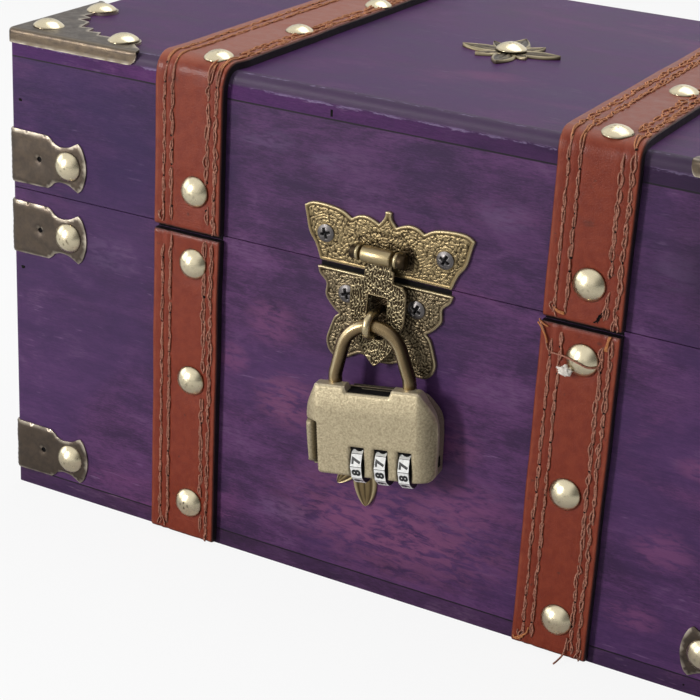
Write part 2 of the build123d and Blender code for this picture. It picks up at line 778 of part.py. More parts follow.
def hinge_leaf_part(across, side, with_middle):
    """A leaf below (side -1) or above (side 1) the pin, with the middle knuckle or the outer two."""
    axis = Plane(origin=(across, back_y + hinge_out, hinge_line), x_dir=(0, -1, 0), z_dir=(1, 0, 0))
    if with_middle:
        spans = [(-knuckle_length / 2 + knuckle_gap, knuckle_length / 2 - knuckle_gap)]
    else:
        spans = [(-hinge_width / 2, -knuckle_length / 2), (knuckle_length / 2, hinge_width / 2)]
    clear = knuckle_radius + knuckle_gap
    with BuildPart() as leaf:
        with BuildSketch(seat(back_face, -across, hinge_line)):
            with Locations((0, side * (clear + hinge_height) / 2)):
                Rectangle(hinge_width, hinge_height - clear)
        extrude(amount=hinge_leaf)
        corner_edges = leaf.edges().filter_by(Axis.Y).group_by(Axis.Z)[-1 if side > 0 else 0]
        fillet(corner_edges, radius=hinge_corner_radius)
        for start, end in spans:
            with BuildSketch(axis.offset(start)):
                Circle(knuckle_radius)
                with Locations((hinge_out, 0)):
                    Rectangle(
                        hinge_leaf,
                        clear,
                        align=(Align.MAX, Align.MAX if side > 0 else Align.MIN),
                    )
                Circle(hinge_pin_radius + hinge_pin_clearance, mode=Mode.SUBTRACT)
            extrude(amount=end - start)
    return leaf


hinge_centre = chest_width * hinge_spread_share / 2
hinge_places = {"left": -hinge_centre, "right": hinge_centre}
for name, across in hinge_places.items():
    write(hinge_leaf_part(across, -1, False), "hinge_base_leaf_" + name)
    write(hinge_leaf_part(across, 1, True), "hinge_lid_leaf_" + name)

with BuildPart() as hinge_pins:
    for across in hinge_places.values():
        pin_middle = Plane(origin=(across, back_y + hinge_out, hinge_line), z_dir=(1, 0, 0))
        with BuildSketch(pin_middle):
            Circle(hinge_pin_radius)
        extrude(amount=hinge_width / 2, both=True)
write(hinge_pins, "hinge_pins")

screw_along = hinge_width * hinge_screw_share
screw_away = (hinge_height + knuckle_radius) / 2
for name, side in (("hinge_base_screws", -1), ("hinge_lid_screws", 1)):
    seats = [
        seat(back_face, -across + along, hinge_line + side * screw_away, hinge_leaf)
        for across in hinge_places.values()
        for along in (-screw_along, screw_along)
    ]
    write(screw_heads(seats, hinge_screw_radius, hinge_screw_head), name)
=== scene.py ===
"""A stained treasure chest box with leather straps, dome tacks, pressed brackets, a butterfly hasp and a
padlock.

The mesh work is in millimetres in the part's frame: the origin is the middle of the underside, X runs along
the front, Y from the front to the back and Z up. Shape.piece() turns it into metres. Every outline is a list
of points that a spline runs through, every surface is a height over such an outline, and every thread is a
tube on a line.
"""
import json
import math

import bpy
import numpy as np
from mathutils import Matrix, Vector
from mathutils.geometry import delaunay_2d_cdt

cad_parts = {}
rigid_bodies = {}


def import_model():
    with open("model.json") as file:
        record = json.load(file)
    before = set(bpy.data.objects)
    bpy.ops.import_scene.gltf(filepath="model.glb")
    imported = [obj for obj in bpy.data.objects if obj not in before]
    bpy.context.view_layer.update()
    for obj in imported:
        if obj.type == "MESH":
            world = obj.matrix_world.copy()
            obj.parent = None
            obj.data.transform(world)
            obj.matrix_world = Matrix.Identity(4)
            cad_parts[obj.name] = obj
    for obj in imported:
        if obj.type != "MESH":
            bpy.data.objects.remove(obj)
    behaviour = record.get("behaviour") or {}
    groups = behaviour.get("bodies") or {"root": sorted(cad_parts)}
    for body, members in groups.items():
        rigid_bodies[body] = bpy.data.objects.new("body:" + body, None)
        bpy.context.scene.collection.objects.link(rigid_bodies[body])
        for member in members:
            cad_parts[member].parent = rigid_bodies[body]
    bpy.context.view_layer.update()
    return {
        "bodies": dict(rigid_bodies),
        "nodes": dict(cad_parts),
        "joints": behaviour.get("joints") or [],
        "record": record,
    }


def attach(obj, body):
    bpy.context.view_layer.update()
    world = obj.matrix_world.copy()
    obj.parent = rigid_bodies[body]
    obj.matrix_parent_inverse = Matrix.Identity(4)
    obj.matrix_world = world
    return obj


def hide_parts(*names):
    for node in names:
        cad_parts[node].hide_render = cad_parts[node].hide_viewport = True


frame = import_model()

MM = 0.001
COARSE = 1.0
FRONT, BACK, RIGHT, TOP = -86.0, 86.0, 140.0, 165.0
PARTING, LID_FOOT, LID_JOINT, BASE_JOINT = 111.0, 111.3, 156.5, 5.5
STRAP_X, STRAP_WIDE, STRAP_THICK, STRAP_FOOT, BEND_POINTS = 68.32, 25.0, 3.0, 1.0, 13
HASP_X = 2.8
random = np.random.default_rng(11)


class Wire:
    """A shader value. Arithmetic on it adds Math nodes to its material."""

    def __init__(self, tree, socket):
        self.tree = tree
        self.socket = socket

    def math(self, kind, *others):
        """A Math node of a kind, with this value first and the others after it."""
        node = self.tree.nodes.new("ShaderNodeMath")
        node.operation = kind
        for socket, value in zip(node.inputs, (self, *others)):
            join(self.tree, value, socket)
        return Wire(self.tree, node.outputs[0])

    def __add__(self, other):
        return self.math("ADD", other)

    def __sub__(self, other):
        return self.math("SUBTRACT", other)

    def __mul__(self, other):
        return self.math("MULTIPLY", other)

    def __rsub__(self, other):
        """A number minus a wire: the wire times minus one, plus the number."""
        return self * -1.0 + other

    __radd__, __rmul__ = __add__, __mul__

    def size(self):
        """The value without its sign."""
        return self.math("ABSOLUTE")

    def step(self, low, high):
        """0 below low and 1 above high, or the other way round where low is larger, with a smooth rise."""
        node = self.tree.nodes.new("ShaderNodeMapRange")
        node.interpolation_type = "SMOOTHSTEP"
        join(self.tree, self, node.inputs["Value"])
        flip = low > high
        ends = {
            "From Min": min(low, high),
            "From Max": max(low, high),
            "To Min": float(flip),
            "To Max": float(not flip),
        }
        for name, value in ends.items():
            node.inputs[name].default_value = value
        return Wire(self.tree, node.outputs[0])


def join(tree, value, socket):
    """Links a wire to a socket, or sets the socket to a constant."""
    if isinstance(value, Wire):
        tree.links.new(value.socket, socket)
    elif hasattr(value, "__len__") and len(value) == 3 and socket.type == "RGBA":
        socket.default_value = (*value, 1.0)
    else:
        socket.default_value = value


class Paint:
    """A material: a Principled shader and the wires that feed it."""

    def __init__(self, name, colour, rough, metal=0.0, coat=0.0, specular=0.5):
        self.material = bpy.data.materials.new(name)
        self.material.use_nodes = True
        self.tree = self.material.node_tree
        self.shader = self.tree.nodes["Principled BSDF"]
        self.set("Base Color", colour)
        self.set("Roughness", rough)
        self.set("Metallic", metal)
        self.set("Coat Weight", coat)
        self.set("Specular IOR Level", specular)

    def set(self, socket, value):
        """Feeds one of the shader's sockets."""
        join(self.tree, value, self.shader.inputs[socket])

    def node(self, kind, output=0, settings=(), **inputs):
        """One shader node: its settings, then its inputs by name, _ for a space and _1 for a second one."""
        node = self.tree.nodes.new(kind)
        for key, value in dict(settings).items():
            setattr(node, key, value)
        for key, value in inputs.items():
            name, number = (key[:-2], 1) if key.endswith("_1") else (key, 0)
            found = [socket for socket in node.inputs if socket.name == name.replace("_", " ")]
            join(self.tree, value, found[number])
        return Wire(self.tree, node.outputs[output])

    def place(self, stretch=(1, 1, 1), shift=(0, 0, 0)):
        """The piece's own coordinates in millimetres, stretched along each axis."""
        found = self.node("ShaderNodeTexCoord", "Object")
        scale = [1000.0 * s for s in stretch]
        return self.node("ShaderNodeMapping", 0, {}, Vector=found, Scale=scale, Location=shift)

    def axis(self, number):
        """One of the piece's own coordinates in millimetres: 0 is X, 1 is Y and 2 is Z."""
        return self.node("ShaderNodeSeparateXYZ", number, {}, Vector=self.place())

    def noise(self, scale, detail=3.0, rough=0.55, stretch=(1, 1, 1), shift=(0, 0, 0), twist=0.0):
        """Noise with about scale waves to a millimetre, over the stretched and shifted coordinates."""
        where = self.place(stretch, shift)
        look = {"Scale": scale, "Detail": detail, "Roughness": rough, "Distortion": twist}
        return self.node("ShaderNodeTexNoise", 0, {}, Vector=where, **look)

    def value(self, name):
        """A value kept on the mesh's points."""
        return self.node("ShaderNodeAttribute", 2, {"attribute_name": name})

    def mix(self, share, low, high):
        """The colour low times 1 minus the share, plus the colour high times the share."""
        node = self.tree.nodes.new("ShaderNodeMix")
        node.data_type = "RGBA"
        join(self.tree, share, node.inputs[0])
        join(self.tree, low, node.inputs[6])
        join(self.tree, high, node.inputs[7])
        return Wire(self.tree, node.outputs[2])

    def over(self, share, colour):
        """Lays a colour by a share over what feeds Base Color so far."""
        below = Wire(self.tree, self.shader.inputs["Base Color"].links[0].from_socket)
        self.set("Base Color", self.mix(share, below, colour))

    def bump(self, height, depth, strength):
        """A bump of the shader's normal: height times depth in metres."""
        raised = self.node("ShaderNodeBump", 0, {}, Height=height, Distance=depth, Strength=strength)
        self.set("Normal", raised)


def along_grain(grain, share):
    """Stretches for noise whose marks run along the grain: the share on its axis and 1 on the others."""
    return [share if axis == grain else 1.0 for axis in "XYZ"]


def wood(name, grain, dark, light, patch, fleck, rough, specular=0.22):
    """Stained board: noise drawn out along the grain makes fibres and streaks, slow noise the cloudy stain.

    The tone is a weighted sum of four noises. Each colour is mixed in by a smooth step of the tone or of a
    noise.
    """
    paint = Paint(name, dark, rough, specular=specular)
    fibre = paint.noise(2.1, 3.0, 0.6, along_grain(grain, 0.15), (2, 1, 4), 0.5)
    fine = paint.noise(4.6, 2.0, 0.5, along_grain(grain, 0.22), (8, 3, 6))
    streak = paint.noise(0.22, 4.0, 0.6, along_grain(grain, 0.10), (3, 7, 1), 0.4)
    blotch = paint.noise(0.085, 4.0, 0.62, along_grain(grain, 0.5), (21, 14, 5), 0.6)
    cloud = paint.noise(0.020, 3.0, 0.55, along_grain(grain, 0.7), (11, 5, 8), 0.6)
    spot = paint.noise(0.030, 3.0, 0.6, along_grain(grain, 0.35), (40, 21, 33), 0.8)
    scratch = paint.noise(0.95, 2.0, 0.5, along_grain(grain, 0.13), (9, 2, 17), 0.3)
    rub = paint.noise(0.05, 2.0, 0.5, along_grain(grain, 0.5), (60, 8, 3), 0.2)
    tone = fibre * 0.24 + fine * 0.16 + streak * 0.20 + blotch * 0.40
    glow = spot.step(0.56, 0.74) * tone.step(0.38, 0.60)
    thin = scratch.step(0.62, 0.78) * rub.step(0.46, 0.70)
    paint.set("Base Color", paint.mix(tone.step(0.40, 0.61), dark, light))
    paint.over(cloud.step(0.40, 0.66) * 0.6, [light[0] * 0.58, light[1] * 0.66, light[2] * 0.80])
    paint.over(blotch.step(0.55, 0.72) * fibre.step(0.40, 0.60) * 0.42, [c * 0.62 for c in fleck])
    paint.over(glow * 0.85, patch)
    paint.over(thin * 0.60, fleck)
    paint.set("Roughness", tone.step(0.25, 0.75) * 0.12 + (rough - 0.06))
    paint.bump(fibre * 0.7 + fine * 0.3, 0.00016, 0.55)
    return paint


def highest(wires):
    """The largest of some wires."""
    total = wires[0]
    for wire in wires[1:]:
        total = total.math("MAXIMUM", wire)
    return total


def stains(paint, colour, share, *spots, broken=1.0):
    """Soft stains and painted shade at (x, z): 1 minus the squared distance in their half sizes, broken up by
    the grain.
    """
    x, z = paint.axis(0), paint.axis(2)
    grain = paint.noise(0.5, 4.0, 0.65, [0.3, 1, 1], (5, 5, 1), 0.6)
    near = []
    for sx, sz, rx, rz in spots:
        dx, dz = (x - sx) * (1 / rx), (z - sz) * (1 / rz)
        near.append((1.0 - (dx * dx + dz * dz)).step(0.0, 1.0))
    paint.over(highest(near) * (grain.step(0.36, 0.60) * broken + (1.0 - broken)) * share, colour)


def board_lines(paint, dark, heights):
    """Dark joints between boards: the distance from each height, slowly waved, steps down past a width."""
    up = paint.axis(2) + (paint.noise(0.05, 2.0) * 0.5 - 0.25)
    paint.over(highest([(up - height).size().step(wide, wide * 0.4) for height, wide in heights]), dark)


def wear_top(paint):
    """The top board's front edge: a slate bevel, a painted sheen, over a dark band, with pale chips of wear
    along their upper lines.

    Bevel and band are steps of height and depth, and darken to the right as painted shade. A chip is a thin
    line round a noisy height, or a noisy depth, kept where the noise is high.
    """
    across, deep, height = (paint.axis(number) for number in range(3))
    rubbed = paint.noise(0.9, 4.0, 0.70, [0.22, 1, 1], (1, 2, 9), 0.6)
    slate = height.step(160.6, 161.6) * (1.0 - deep.step(-84.0, -81.5))
    band = 1.0 - height.step(160.6, 161.6)
    # Painted light: band and bevel darken to the right as shade, and the bevel's slate grey is a painted
    # sheen
    paint.over(band * (across.step(-60.0, 90.0) * 0.6 + 0.1), [0.022, 0.012, 0.034])
    paint.over(slate * 0.75, [0.072, 0.052, 0.086])
    paint.over((slate + band) * across.step(50.0, 110.0) * 0.55, [0.020, 0.012, 0.026])
    lower_line = 1.0 - (height - 161.0 + (rubbed - 0.5) * 3.0).size().step(0.1, 0.55)
    upper_line = 1.0 - (deep + 83.6 + (rubbed - 0.5) * 2.4).size().step(0.05, 0.45)
    upper_line = height.step(164.4, 164.7) * upper_line
    chips = highest([lower_line * rubbed.step(0.44, 0.60) * 0.62, upper_line * rubbed.step(0.46, 0.60) * 0.7])
    paint.over(chips * (1.0 - across.step(0.0, 120.0) * 0.5), [0.26, 0.20, 0.34])


# Stained wood: pale patches of the front, then broad painted shade where the light falls off: the lid's
# two ends, the lid's band, the base's left and the middle under the hasp. A spot is x, z and two half sizes
PURPLE = ([0.034, 0.012, 0.050], [0.100, 0.034, 0.118], [0.145, 0.042, 0.128], [0.21, 0.12, 0.24])
front_wood = wood("front_wood", "X", *PURPLE, 0.52)
stains(
    front_wood, [0.145, 0.046, 0.130], 0.75, (100, 45, 13, 9), (-37, 86, 12, 10), (-52, 70, 9, 7),
    (110, 74, 12, 5), (30, 60, 12, 9), (93, 20, 12, 6), (6, 24, 34, 11), (36, 42, 18, 12)
)
stains(
    front_wood, [0.150, 0.085, 0.190], 0.45, (-42, 146, 14, 5), (-20, 143, 7, 5), (40, 138, 12, 6),
    (-100, 95, 14, 8), (94, 132, 9, 7), (-28, 20, 16, 6)
)
stains(front_wood, [0.195, 0.062, 0.138], 0.55, (10, 26, 52, 24), (-30, 60, 16, 12))
# Painted shade: broad darkening of the lid's ends, the lid's band, the base's left and the middle under the
# hasp
stains(front_wood, [0.014, 0.003, 0.050], 0.62, (-108, 138, 66, 38), broken=0.25)
stains(front_wood, [0.016, 0.006, 0.022], 0.66, (124, 138, 48, 34), broken=0.25)
stains(
    front_wood, [0.020, 0.010, 0.044], 0.28, (-105, 84, 62, 44), (0, 136, 150, 27), (8, 98, 60, 14),
    broken=0.25
)
side_wood = wood("side_wood", "Y", *PURPLE, 0.52)
top_wood = wood(
    "top_wood", "X", [0.046, 0.012, 0.070], [0.094, 0.024, 0.118], [0.14, 0.040, 0.13], [0.20, 0.12, 0.22],
    0.46, 0.13
)
wear_top(top_wood)
foot_wood = wood(
    "foot_wood", "X", [0.026, 0.009, 0.034], [0.060, 0.021, 0.074], [0.10, 0.028, 0.080], [0.20, 0.12, 0.20],
    0.55
)

# Leather: paler on top of the lid, partly faded leather and partly a painted sheen that is stronger on
# the left; worn and dark where the mesh says so
leather = Paint("leather", [0.19, 0.034, 0.017], 0.40, coat=0.03, specular=0.24)
hide = leather.noise(0.35, 4.0, 0.6)
pores = leather.node(
    "ShaderNodeTexVoronoi", 0, {"feature": "DISTANCE_TO_EDGE"}, Vector=leather.place(), Scale=1.15
)
stain = leather.noise(0.42, 2.0, 0.5, shift=(5, 9, 2))
# The lid's top is painted paler, more on the left: faded leather and a painted sheen where the light falls
light_from_left = 0.88 - leather.axis(0).step(-30.0, 30.0) * 0.38
pale = leather.axis(2).step(164.5, 167.6) * light_from_left * (hide * 0.5 + 0.7)
leather.set("Base Color", leather.mix(hide.step(0.3, 0.7), [0.163, 0.022, 0.009], [0.198, 0.031, 0.012]))
leather.over(stain.step(0.70, 0.78) * 0.6, [0.075, 0.022, 0.014])
leather.over(leather.value("worn"), [0.27, 0.065, 0.03])
leather.over(leather.value("dark"), [0.012, 0.009, 0.010])
leather.over(pale * (1.0 - leather.value("dark")), [0.345, 0.115, 0.075])
stains(
    leather, [0.050, 0.016, 0.012], 0.55, (67.4, 142.0, 2.4, 1.5), (74.5, 106.4, 1.1, 1.2),
    (-74.0, 160.0, 3.0, 2.0)
)
leather.set("Roughness", hide.step(0.2, 0.8) * 0.16 + 0.36)
leather.bump(pores.step(0.0, 0.25) * 0.5 + hide, 0.00012, 0.45)

# Thread: two mixed tones, more orange on top of the lid
thread = Paint("thread", [0.30, 0.115, 0.062], 0.7)
ply = thread.noise(1.6, 3.0, 0.6)
thread.set("Base Color", thread.mix(ply.step(0.3, 0.7), [0.17, 0.052, 0.030], [0.42, 0.185, 0.120]))
thread.over(thread.axis(2).step(164.5, 167.0) * 0.65, [0.62, 0.25, 0.095])
thread.bump(thread.noise(5.0, 2.0), 0.0002, 0.6)


def uneven(name, first, second, scale, rough, **more):
    """A plain paint whose colour and roughness drift between two values by a smooth step of slow noise."""
    paint = Paint(name, first, rough, **more)
    drift = paint.noise(scale, 3.0, 0.6, shift=(3, 8, 5)).step(0.35, 0.68)
    paint.set("Base Color", paint.mix(drift, first, second))
    paint.set("Roughness", drift * 0.1 + (rough - 0.05))
    return paint


frayed = uneven("frayed_thread", [0.46, 0.17, 0.045], [0.30, 0.10, 0.035], 1.2, 0.7)
black = uneven("black", [0.003, 0.0025, 0.003], [0.008, 0.007, 0.0075], 0.8, 0.8, specular=0.1)
lint = uneven("lint", [0.78, 0.73, 0.66], [0.52, 0.47, 0.42], 0.9, 0.8)


def metal(name, colour, rough, mottle, dark, scale=0.5, depth=0.00008, metal_share=1.0):
    """Cast or pressed metal: a step of noise mottles its tone and roughness, and finer noise bumps it."""
    paint = Paint(name, colour, rough, metal_share)
    cloud = paint.noise(scale, 4.0, 0.6)
    speck = paint.noise(2.6 if scale < 1 else 1.7, 3.0, 0.6, shift=(4, 4, 9))
    tone = paint.mix(cloud.step(0.32, 0.70) * mottle, colour, dark)
    paint.set("Base Color", tone)
    paint.set("Roughness", cloud.step(0.25, 0.75) * 0.12 + (rough - 0.06))
    paint.bump(speck, depth, 0.6)
    return paint


def edged(paint, name, share, colour):
    """Lays a colour over a paint by a value of the mesh times a share."""
    paint.over(paint.value(name) * share, colour)


# Metals: hollows dark with patina and painted shade, edges bright as rubbed metal and painted highlight
dome_brass = metal("dome_brass", [0.68, 0.60, 0.42], 0.25, 0.16, [0.50, 0.42, 0.26], 0.30, 0.00002)
edged(dome_brass, "pit", 1.0, [0.12, 0.09, 0.06])
bronze = metal("bronze", [0.098, 0.074, 0.055], 0.38, 0.9, [0.062, 0.049, 0.040], 0.42, 0.00006, 0.85)
edged(bronze, "edge", 1.0, [0.60, 0.53, 0.42])
edged(bronze, "warm", 0.8, [0.138, 0.104, 0.069])
relief = metal("relief_brass", [0.225, 0.165, 0.080], 0.38, 0.45, [0.150, 0.106, 0.052], 0.30, 0.00004, 0.9)
edged(relief, "dull", 1.0, [0.096, 0.077, 0.058])
edged(relief, "low", 1.0, [0.028, 0.018, 0.009])
edged(relief, "edge", 0.75, [0.60, 0.51, 0.31])
smooth_brass = metal(
    "smooth_brass", [0.27, 0.195, 0.102], 0.30, 0.5, [0.15, 0.105, 0.058], 0.30, 0.00003, 0.94
)
edged(smooth_brass, "low", 1.0, [0.040, 0.026, 0.016])
edged(smooth_brass, "edge", 0.9, [0.62, 0.53, 0.33])
lock_brass = metal("lock_brass", [0.500, 0.425, 0.280], 0.50, 0.75, [0.270, 0.222, 0.138], 1.5, 0.00018, 0.68)
edged(lock_brass, "low", 1.0, [0.012, 0.009, 0.008])
edged(lock_brass, "edge", 0.8, [0.66, 0.58, 0.42])
screw_grey = metal("screw_grey", [0.150, 0.138, 0.135], 0.38, 0.4, [0.05, 0.047, 0.05], 0.6, 0.00003, 0.85)
edged(screw_grey, "low", 1.0, [0.004, 0.0035, 0.004])
pin_steel = metal("pin_steel", [0.45, 0.43, 0.40], 0.35, 0.3, [0.3, 0.28, 0.26], 0.5, 0.00003)
white = uneven("dial_white", [0.88, 0.88, 0.86], [0.74, 0.73, 0.70], 0.9, 0.32, coat=0.1)
ink = uneven("dial_ink", [0.005, 0.005, 0.006], [0.014, 0.013, 0.013], 1.4, 0.45)


class Shape:
    """Vertices, faces and values gathered for one piece."""

    def __init__(self):
        self.points = []
        self.faces = []
        self.values = {}
        self.count = 0

    def add(self, points, faces, flip=False, **values):
        """Adds points and faces, and a value or an array for each name, 0 where a name is missing."""
        points = np.asarray(points, float).reshape(-1, 3)
        self.points.append(points)
        self.faces += [
            tuple(int(i) + self.count for i in (reversed(face) if flip else face)) for face in faces
        ]
        for name in set(values) | set(self.values):
            if name not in self.values:
                self.values[name] = [np.zeros(self.count)]
            given = values.get(name, 0.0)
            self.values[name].append(np.broadcast_to(np.asarray(given, float), (len(points),)))
        self.count += len(points)

    def piece(self, name, paint, body, slot, *stands_for, flat=False):
        """The gathered mesh as a piece of the scene that rides on a body."""
        data = bpy.data.meshes.new(name)
        data.from_pydata((np.concatenate(self.points) * MM).tolist(), [], self.faces)
        data.polygons.foreach_set("use_smooth", [not flat] * len(data.polygons))
        for key, parts in self.values.items():
            layer = data.attributes.new(key, "FLOAT", "POINT")
            layer.data.foreach_set("value", np.concatenate(parts).astype(np.float32))
        data.materials.append(paint.material)
        data.validate()
        data.update()
        made = bpy.data.objects.new(name, data)
        bpy.context.scene.collection.objects.link(made)
        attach(made, body)
        if stands_for:
            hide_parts(*stands_for)


def smooth(x, low, high):
    """The cubic step from 0 at low to 1 at high: t squared times 3 minus 2 t, with t the share between."""
    t = np.clip((np.asarray(x, float) - low) / (high - low), 0, 1)
    return t * t * (3 - 2 * t)


def fade(x, low, high):
    """The cubic step turned round: from 1 at low to 0 at high."""
    return 1 - smooth(x, low, high)


def bell(x, middle, wide):
    """A bell: e to the power of minus the squared distance from the middle, counted in widths."""
    return np.exp(-(((x - middle) / wide) ** 2))


def grid_faces(rows, cols):
    """Four-sided faces between the points of a grid that is kept row by row."""
    return [
        (a * cols + k, (a + 1) * cols + k, (a + 1) * cols + k + 1, a * cols + k + 1)
        for a in range(rows - 1)
        for k in range(cols - 1)
    ]


def ring_faces(rings, sides):
    """Four-sided faces between rings of points, each ring closed on itself."""
    return [
        (a * sides + k, a * sides + (k + 1) % sides, (a + 1) * sides + (k + 1) % sides, (a + 1) * sides + k)
        for a in range(rings - 1)
        for k in range(sides)
    ]


def through(points, steps=8):
    """A spline through points: cubics whose slope at a point is half the way between its neighbours."""
    p = np.asarray(points, float)
    p = np.concatenate([[2 * p[0] - p[1]], p, [2 * p[-1] - p[-2]]])
    out = []
    for a, b, c, d in zip(p[:-3], p[1:-2], p[2:-1], p[3:]):
        t = (np.arange(steps) / steps)[:, None]
        out.append(
            0.5 * (2 * b + (c - a) * t + (2 * a - 5 * b + 4 * c - d) * t**2 + (3 * b - a - 3 * c + d) * t**3)
        )
    return np.concatenate([*out, [p[-2]]])


def cut(loop, step):
    """A closed outline whose long sides are cut into equal pieces of about step."""
    out = []
    for a, b in zip(loop, np.roll(loop, -1, axis=0)):
        length = math.dist(a, b)
        if length < 1e-6:
            continue
        n = max(1, round(length / step))
        out.append(a + (b - a) * (np.arange(n) / n)[:, None])
    return np.concatenate(out)


def inside(points, loops):
    """Whether points lie inside closed outlines, by the even-odd rule."""
    hit = np.zeros(len(points), bool)
    for loop in loops:
        for (x0, y0), (x1, y1) in zip(loop, np.roll(loop, -1, axis=0)):
            if y0 != y1:
                level = (points[:, 1] > min(y0, y1)) & (points[:, 1] <= max(y0, y1))
                hit ^= level & (x0 + (points[:, 1] - y0) * (x1 - x0) / (y1 - y0) > points[:, 0])
    return hit


def edge_distance(points, loops):
    """The distance of points from closed outlines: the least over their sides, cut off at their ends."""
    best = np.full(len(points), 1e9)
    for loop in loops:
        for a, b in zip(loop, np.roll(loop, -1, axis=0)):
            d = b - a
            t = np.clip((points - a) @ d / max(d @ d, 1e-12), 0, 1)
            best = np.minimum(best, np.hypot(*(points - a - t[:, None] * d).T))
    return best


def fill(loops, step):
    """Staggered rows of points inside the first outline and outside the others, joined to triangles.

    Also gives the point numbers of each rim, and the rims cut into pieces of about step.
    """
    rims = [cut(np.asarray(loop, float), step) for loop in loops]
    low, high = rims[0].min(0), rims[0].max(0)
    rows = np.arange(low[1], high[1], step * 0.866)
    across = np.arange(low[0], high[0] + step, step)
    grid = np.concatenate(
        [np.stack([across + (n % 2) * step / 2, np.full(len(across), y)], 1) for n, y in enumerate(rows)]
    )
    grid = grid[inside(grid, rims)]
    grid = grid[edge_distance(grid, rims) > 0.45 * step]
    points = np.concatenate([*rims, grid])
    ends = np.cumsum([0] + [len(rim) for rim in rims])
    spans = list(zip(ends[:-1], ends[1:]))
    edges = [(int(a + n), int(a + (n + 1) % (b - a))) for a, b in spans for n in range(b - a)]
    found = delaunay_2d_cdt([Vector(p) for p in points], edges, [], 0, 1e-7)
    made = np.array([tuple(p) for p in found[0]])
    number = {old: new for new, olds in enumerate(found[3]) for old in olds}
    faces = np.array([f for f in found[2]])
    faces = faces[inside(made[faces].mean(1), rims)]
    return made, faces, [[number[n] for n in range(a, b)] for a, b in spans], rims


def plate(shape, loops, step, height, place, flip=False, back=False, foot=0.0):
    """A sheet over outlines, with walls from its rims down to foot and, where asked, a flat back.

    height(x, y, d) gives the height and the values at a distance d from the rim, and place() the spot in
    space.
    """
    points, faces, rims, lines = fill(loops, step * COARSE)
    x, y = points.T
    high, values = height(x, y, edge_distance(points, lines))
    shape.add(place(x, y, high), faces, flip, **values)
    for rim in rims:
        n = len(rim)
        upper, lower = place(x[rim], y[rim], high[rim]), place(x[rim], y[rim], np.full(n, foot))
        walls = [(k, k + n, (k + 1) % n + n, (k + 1) % n) for k in range(n)]
        level = {key: np.tile(np.broadcast_to(value, x.shape)[rim], 2) for key, value in values.items()}
        shape.add(np.concatenate([upper, lower]), walls, flip, **level)
    if back:
        shape.add(place(x, y, np.full(len(x), foot)), faces, not flip)


def tube(shape, line, radius, sides=8, flat=1.0):
    """A tube along a line: rings of the cosine of one side plus the sine of the other, with end caps.

    The first side is carried along without twist, by taking its part along the line away at each point.
    """
    line = np.asarray(line, float)
    radius = np.broadcast_to(radius, (len(line),))
    ahead = np.gradient(line, axis=0)
    ahead /= np.linalg.norm(ahead, axis=1)[:, None]
    side = np.cross(ahead[0], [0.3, 0.2, 0.93])
    rings = []
    for n, (point, way) in enumerate(zip(line, ahead)):
        side = side - (side @ way) * way
        side /= np.linalg.norm(side)
        turn = np.arange(sides) * 2 * np.pi / sides
        spokes = np.outer(np.cos(turn), side) + flat * np.outer(np.sin(turn), np.cross(way, side))
        rings.append(point + radius[n] * spokes)
    faces = ring_faces(len(line), sides)
    faces += [tuple(reversed(range(sides))), tuple((len(line) - 1) * sides + k for k in range(sides))]
    shape.add(np.concatenate(rings), faces)


def axes(normal, toward=(0.31, 0.17, 0.93)):
    """Two unit vectors square to a normal: toward crossed with it, and the normal crossed with that."""
    normal = np.asarray(normal, float)
    first = np.cross(toward, normal)
    first /= np.linalg.norm(first)
    return first, np.cross(normal, first)


def turned(profile, origin, axis, sides=32):
    """A profile of (radius, height) turned round an axis: spokes of cosine and sine, plus the height."""
    axis = np.asarray(axis, float) / np.linalg.norm(axis)
    first, second = axes(axis, (0.31, 0.17, 0.93) if abs(axis[2]) < 0.8 else (0.9, 0.17, 0.31))
    turn = np.arange(sides) * 2 * np.pi / sides
    spokes = np.outer(np.cos(turn), first) + np.outer(np.sin(turn), second)
    rings = [origin + r * spokes + h * axis for r, h in profile]
    n = len(profile)
    faces = ring_faces(n, sides)
    if profile[0][0] > 1e-6:
        faces.append(tuple(reversed(range(sides))))
    if profile[-1][0] > 1e-6:
        faces.append(tuple((n - 1) * sides + k for k in range(sides)))
    return np.concatenate(rings), faces


def lathe(shape, profile, origin, axis, sides=32, **values):
    """Adds a turned profile to a shape."""
    shape.add(*turned(profile, origin, axis, sides), **values)


def box(shape, first, last, place, **values):
    """A block between two corners, carried by place(x, y, z)."""
    x, y, z = zip(first, last)
    corners = np.array([(a, b, c) for a in x for b in y for c in z])
    faces = [(0, 1, 3, 2), (4, 6, 7, 5), (0, 4, 5, 1), (2, 3, 7, 6), (0, 2, 6, 4), (1, 5, 7, 3)]
    for face in faces:
        shape.add(place(*corners[list(face)].T), [(0, 1, 2, 3)], **values)


def winding(x, y, wave, seed, count=22, lean=0.0, bend=0.0):
    """Equal cosine waves in random directions, on slowly bent coordinates, added up: their levels wind."""
    source = np.random.default_rng(seed)
    x = x + bend * np.sin(y * 0.55 + 1.3 + 0.3 * seed) + 0.6 * bend * np.sin(y * 1.3 + x * 0.4)
    y = y + bend * np.sin(x * 0.48 + 0.4 * seed) + 0.6 * bend * np.sin(x * 1.1 - y * 0.5)
    total = np.zeros(np.shape(x))
    turns = lean + source.uniform(0, np.pi, count)
    shifts = source.uniform(0, 2 * np.pi, count)
    for turn, shift, stretch in zip(turns, shifts, source.uniform(0.86, 1.14, count)):
        total += np.cos(2 * np.pi / (wave * stretch) * (x * math.cos(turn) + y * math.sin(turn)) + shift)
    return total / math.sqrt(count / 2)


